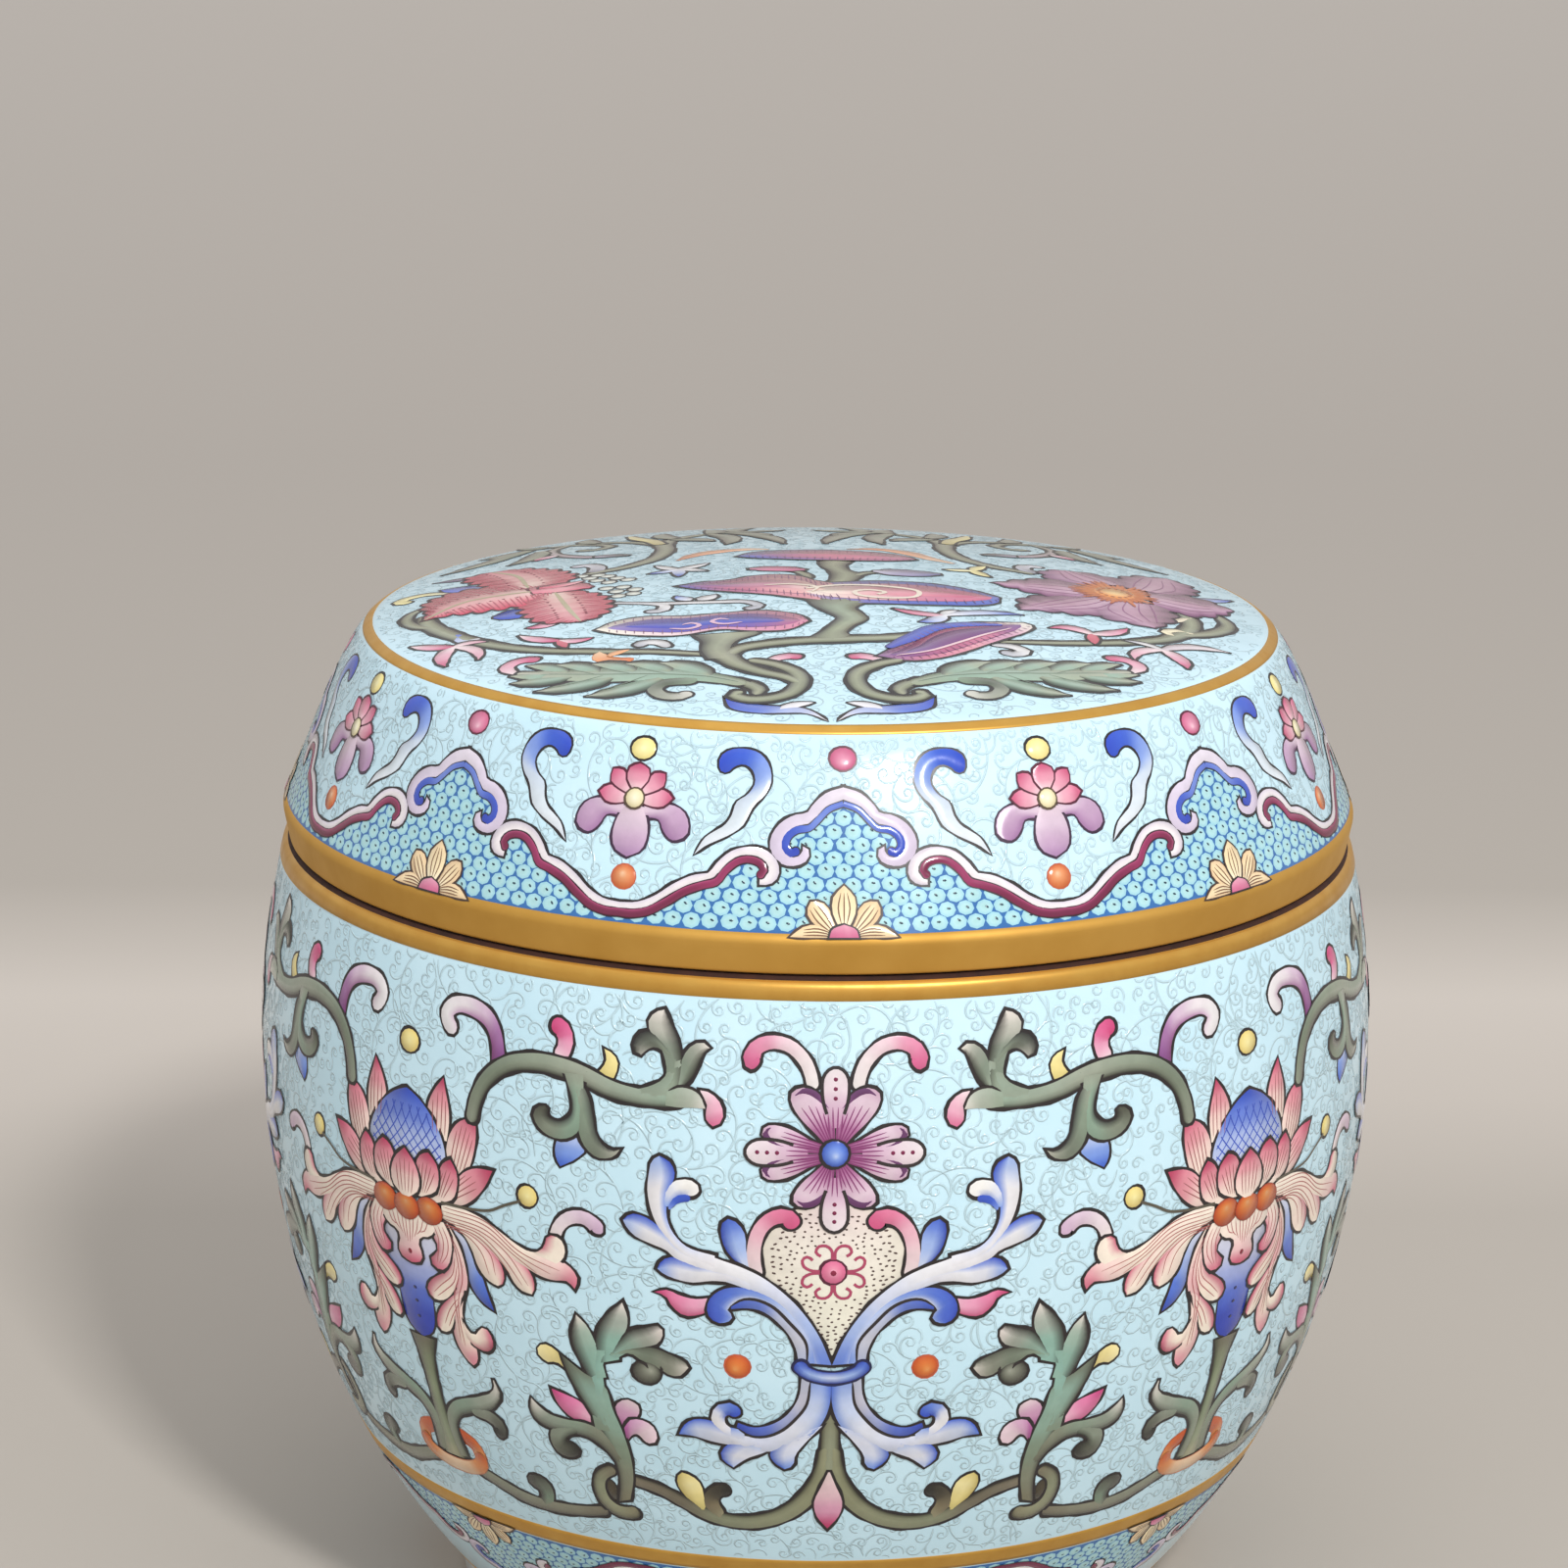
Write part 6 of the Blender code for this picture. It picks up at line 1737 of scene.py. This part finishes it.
def body_section():
    """The jar body's closed section in its zones: 0 painted ground, 1 white glaze, 2 bare rim."""
    outside = push(body_outside(), SKIN)
    outside[0, 1] = LEDGE_Z
    inner = FOOT_R - FOOT_WIDTH
    foot = [(FOOT_R, FOOT_TOP + 0.1), (FOOT_R, FOOT_TOP - 0.6), (FOOT_R, FOOT_BEVEL),
            (FOOT_R - FOOT_BEVEL, 0)]
    foot += [(inner + FOOT_BEVEL, 0), (inner, FOOT_BEVEL), (inner - FOOT_BEVEL, RECESS)]
    foot += [(inner - 2, RECESS + 0.05), (AXIS_R, RECESS + 0.1)]
    corner, throat = belly_a(FLOOR + FLOOR_ROUND, WALL), belly_a(THROAT_Z, WALL)
    flat = belly(corner, WALL)[0] - FLOOR_ROUND
    inside = [(AXIS_R, FLOOR)]
    for a in np.linspace(0, np.pi / 2, 9):
        inside.append((flat + FLOOR_ROUND * np.sin(a), FLOOR + FLOOR_ROUND * (1 - np.cos(a))))
    inside += [tuple(belly(a, WALL)) for a in np.linspace(corner, throat, 40)[1:]]
    ring, peak = COLLAR_R - COLLAR_WALL, LEDGE_Z + COLLAR_H
    turn = [(0, COLLAR_ROUND), (0.2, 0.15), (COLLAR_ROUND, 0)]
    inside += [(ring + 0.6, CEILING - 0.5), (ring, CEILING + 0.4)]
    inside += [(ring + x, peak - y) for x, y in turn] + [(COLLAR_R - x, peak - y) for x, y in turn[::-1]]
    inside += [(COLLAR_R, LEDGE_Z + 0.2), (COLLAR_R + 0.2, LEDGE_Z)]
    path = inside + [tuple(p) for p in outside] + foot
    zones = [1] * len(inside) + [0] * (len(outside) - 1) + [1] * 3 + [2] * 3 + [1] * 3
    return path, zones


def lid_section():
    """The lid's closed section, from the crown's middle down outside and back up inside."""
    bore = LIP_R - LIP_WALL
    crown = [(r, crown_z(r) + SKIN) for r in np.linspace(AXIS_R, CROWN_R - 0.3, 14)]
    side = [tuple(p) for p in push(lid_side()[::-1], SKIN)[1:-1]]
    lip = [(LIP_R + SKIN, 0.25), (LIP_R + SKIN - LIP_BEVEL, 0), (bore + LIP_BEVEL, 0), (bore, LIP_BEVEL)]
    under = [tuple(p) for p in push(lid_side()[::-1], -LID_WALL) if p[0] < bore - 0.1 and p[1] > 8]
    dome = [(r, crown_z(r) - LID_WALL) for r in np.linspace(AXIS_R, under[0][0] - 0.5, 10)]
    inside = [(bore, under[-1][1] - 1.2)] + under[::-1] + dome[::-1]
    path = crown + side + lip + inside
    zones = [0] * (len(crown) + len(side) - 1) + [1] * (len(lip) + len(inside))
    return path, zones


path, zones = body_section()
turned("jar_glaze", path, [GROUND, WHITE, BISCUIT], zones, "jar_body")
path, zones = lid_section()
turned("lid_glaze", path, [GROUND, WHITE], zones, "lid", LID_Z)

# Gilding: its height over the glaze on the bands, and on the rim
GILT_H, RIM_H = 0.06, 0.07


def band(name, chart, v0, v1):
    """A gilt band round a chart between two heights on it, its edges sunk in the glaze."""
    v = np.linspace(v0, v1, 9)
    v[1], v[-2] = v0 + GILT_H, v1 - GILT_H
    h = np.full(9, SKIN + GILT_H)
    h[[0, -1]] = SKIN - 0.05
    p = chart.place(np.zeros(9), v, h)[0]
    turned(name, np.stack([np.hypot(p[:, 0], p[:, 1]), p[:, 2]], 1), [PALE_GOLD], [0] * 8)


def part_of(path, low, high):
    """The points of the path whose lengths from its start lie from low to high."""
    return [tuple(p) for p, v in zip(path, arc_of(path)) if low <= v <= high]


band("gilt_lower_band", BODY, 73.5, 76.0)
band("gilt_foot_band", BODY, 93.4, 96.1)
band("gilt_crown_ring", SIDE, 26.8, 28.4)

lip, brim = LIP_R + SKIN, push(lid_side()[::-1], SKIN + RIM_H)[::-1]
rim = [(LIP_R - 1.2, 0.02), (lip - 0.12, 0.02), (lip + 0.02, 0.16)]
rim += [(lip + RIM_H + BRIM_FLARE * f, 0.35 + 3.1 * f) for f in np.linspace(0, 1, 6)]
rim += part_of(brim, 3.5, 5.15)
rim += [(rim[-1][0] - 0.12, rim[-1][1] + 0.02)]
turned("gilt_rim", rim, [GOLD], [0] * (len(rim) - 1), None, LID_Z)

side = push(body_outside(), SKIN + GILT_H)
shoulder = [(LIP_R - 1.8, LEDGE_Z + 0.03), (side[0][0] + 0.06, LEDGE_Z + 0.03)]
shoulder += [tuple(along(side, np.array([0.3]))[0])] + part_of(side, 0.4, 3.0)
shoulder += [(shoulder[-1][0] - 0.1, shoulder[-1][1] - 0.05)]
# The shoulder's first two steps, at the seam under the lid, take the dark brown painted shade
turned("gilt_shoulder", shoulder, [PALE_GOLD, SEAM_SHADE], [1, 1] + [0] * (len(shoulder) - 3))


# Everything drawn is wrapped on the surface and rides with the part

def films(name, kind):
    """The films of this kind in a named group, each with its copies."""
    return [(getattr(art, kind), copies) for art, copies in drawn[name][1:] if getattr(art, kind).parts]


def within(low, high):
    """A test of which points lie between two heights on a chart."""
    return lambda p: (p[:, 1] > low) & (p[:, 1] <= high)


# The body's ground runs from the shoulder to the lower gilt band, in two pieces
SHOULDER_V, SPLIT_V, BAND_V = 3.1, 38, 73.2
box = (-CELL / 2, CELL / 2, 0, 76)
hidden = covered(films("body", "paint"), box, CELL)
lines = scroll_lines(CELL, 71.5, seed=11, offset=(0, 2))
for name, low, high in (("upper", SHOULDER_V, SPLIT_V), ("lower", SPLIT_V, BAND_V)):
    ground = scroll_film(lines, within(low, high), hidden, box, CELL)
    film_object("scroll_" + name, BODY, [(ground, plain)], RIDGE)

# The ground of the lid's side repeats after two cells
PAIR = 2 * SIDE_CELL
box = (0, PAIR, 0, 30)
hidden = covered(films("lid_border", "paint") + films("lid_sprays", "paint"), box, PAIR)
lines = scroll_lines(PAIR, 24, seed=5, offset=(0, 4))
ground = scroll_film(lines, within(5.2, 26.6), hidden, box, PAIR)
film_object("scroll_lid_side", SIDE, [(ground, repeats(PAIR, SIDE_CELLS // 2))], RIDGE)

# The crown's ground fills a round patch and doesn't repeat
REACH, GROUND_R = 54, 53.0
box = (-REACH, REACH, -REACH, REACH)
hidden = covered(films("crown", "paint"), box)
lines = scroll_lines(2 * REACH, 2 * REACH, seed=3, offset=(-REACH, -REACH))
ground = scroll_film(lines, lambda p: np.hypot(*p.T) < GROUND_R, hidden, box, w=0.09)
film_object("scroll_crown", TOP, [(ground, once)], RIDGE)

for name, (chart, *_) in drawn.items():
    for kind, part, material in (("paint", "enamel", ENAMEL), ("ink", "outline", INK_LINE)):
        layers = films(name, kind)
        if layers:
            film_object(f"{part}_{name}", chart, layers, material)


# Floor, light and camera, in metres

BEND_Y, BEND_R = 0.3, 3.4
# The paper's colour from front to back, with a painted band of light on the floor just before it rises and
# painted brightening towards the far wall
PAPER_WITH_PAINTED_LIGHT = ((0.0, (184, 177, 168)), (0.23, (180, 173, 165)), (0.27, (196, 188, 180)), (0.31, (204, 196, 188)),
         (0.36, (180, 173, 165)), (0.6, (182, 175, 168)), (1.0, (200, 193, 186)))


def sweep():
    """A pale paper floor that rises softly far behind the jar, its colour painted lighter in a band just
    before the rise and towards the top.
    """
    y = np.r_[np.linspace(-2.2, 0.2, 9), np.linspace(BEND_Y, 2.6, 24)]
    z = np.where(y > BEND_Y, BEND_R - np.sqrt(BEND_R**2 - (y - BEND_Y) ** 2), 0.0)
    x = np.linspace(-2.4, 2.4, 9)
    p = np.stack(np.broadcast_arrays(x[None], y[:, None], z[:, None]), -1)
    m, nodes, links, shader = nodes_of("Paper sweep", 0.85)
    place = nodes.new("ShaderNodeTexCoord")
    split = nodes.new("ShaderNodeSeparateXYZ")
    fade = nodes.new("ShaderNodeValToRGB")
    span = nodes.new("ShaderNodeMapRange")
    span.inputs["From Min"].default_value = -0.2
    span.inputs["From Max"].default_value = 1.2
    links.new(place.outputs["Object"], split.inputs["Vector"])
    links.new(split.outputs["Y"], span.inputs["Value"])
    links.new(span.outputs["Result"], fade.inputs["Fac"])
    links.new(fade.outputs["Color"], shader.inputs["Base Color"])
    while len(fade.color_ramp.elements) < len(PAPER_WITH_PAINTED_LIGHT):
        fade.color_ramp.elements.new(0.5)
    for e, (at, c) in zip(fade.color_ramp.elements, PAPER_WITH_PAINTED_LIGHT):
        e.position, e.color = at, (*linear(c), 1)
    shader.inputs["Specular IOR Level"].default_value = 0.2
    quads = grid_quads(np.arange(z.size * x.size).reshape(z.size, x.size))
    mesh_object("paper_sweep", p.reshape(-1, 3), quads, [m])


LIT_SPOT = Vector((0, 0, 0.07))


def lamp(name, at, size, power, colour=(1, 1, 1)):
    """A square lamp of this size and power that points at the jar's middle."""
    light = bpy.data.lights.new(name, "AREA")
    light.shape, light.size, light.energy, light.color = "SQUARE", size, power, colour
    o = bpy.data.objects.new(name, light)
    o.location = at
    o.rotation_euler = (LIT_SPOT - Vector(at)).to_track_quat("-Z", "Y").to_euler()
    bpy.context.scene.collection.objects.link(o)


sweep()
lamp("key", (0.27, -0.83, 0.80), 0.12, 8.4, (1.0, 0.99, 0.97))
lamp("top", (-0.2, 0.1, 1.3), 1.2, 1.5)
lamp("front", (0.0, -1.3, 0.36), 1.0, 0.6)
scene = bpy.context.scene
scene.view_settings.view_transform = "Standard"
world = bpy.data.worlds.new("Soft room")
world.use_nodes = True
world.node_tree.nodes["Background"].inputs["Color"].default_value = (0.80, 0.80, 0.80, 1)
world.node_tree.nodes["Background"].inputs["Strength"].default_value = 0.9
scene.world = world

# The photo's camera: its angles, its place in metres, and a turn about the jar's axis
PITCH, YAW, ROLL = 0.2552, -0.0075, 0.0106
EYE_AT, ORBIT = (0, -0.5497, 0.2424), np.radians(-2)
lens = bpy.data.cameras.new("camera")
lens.lens, lens.sensor_width = 108.0, 36.0
lens.clip_start, lens.clip_end = 0.01, 20.0
camera = bpy.data.objects.new("camera", lens)
scene.collection.objects.link(camera)
side = Vector((np.cos(YAW), -np.sin(YAW), 0))
ahead = Vector((np.sin(YAW) * np.cos(PITCH), np.cos(YAW) * np.cos(PITCH), -np.sin(PITCH)))
up = Vector((np.sin(YAW) * np.sin(PITCH), np.cos(YAW) * np.sin(PITCH), np.cos(PITCH)))
right, up = side * np.cos(ROLL) + up * np.sin(ROLL), up * np.cos(ROLL) - side * np.sin(ROLL)
spin = Matrix((right, up, -ahead)).transposed().to_4x4()
camera.matrix_world = Matrix.Rotation(ORBIT, 4, "Z") @ Matrix.Translation(EYE_AT) @ spin
scene.camera = camera
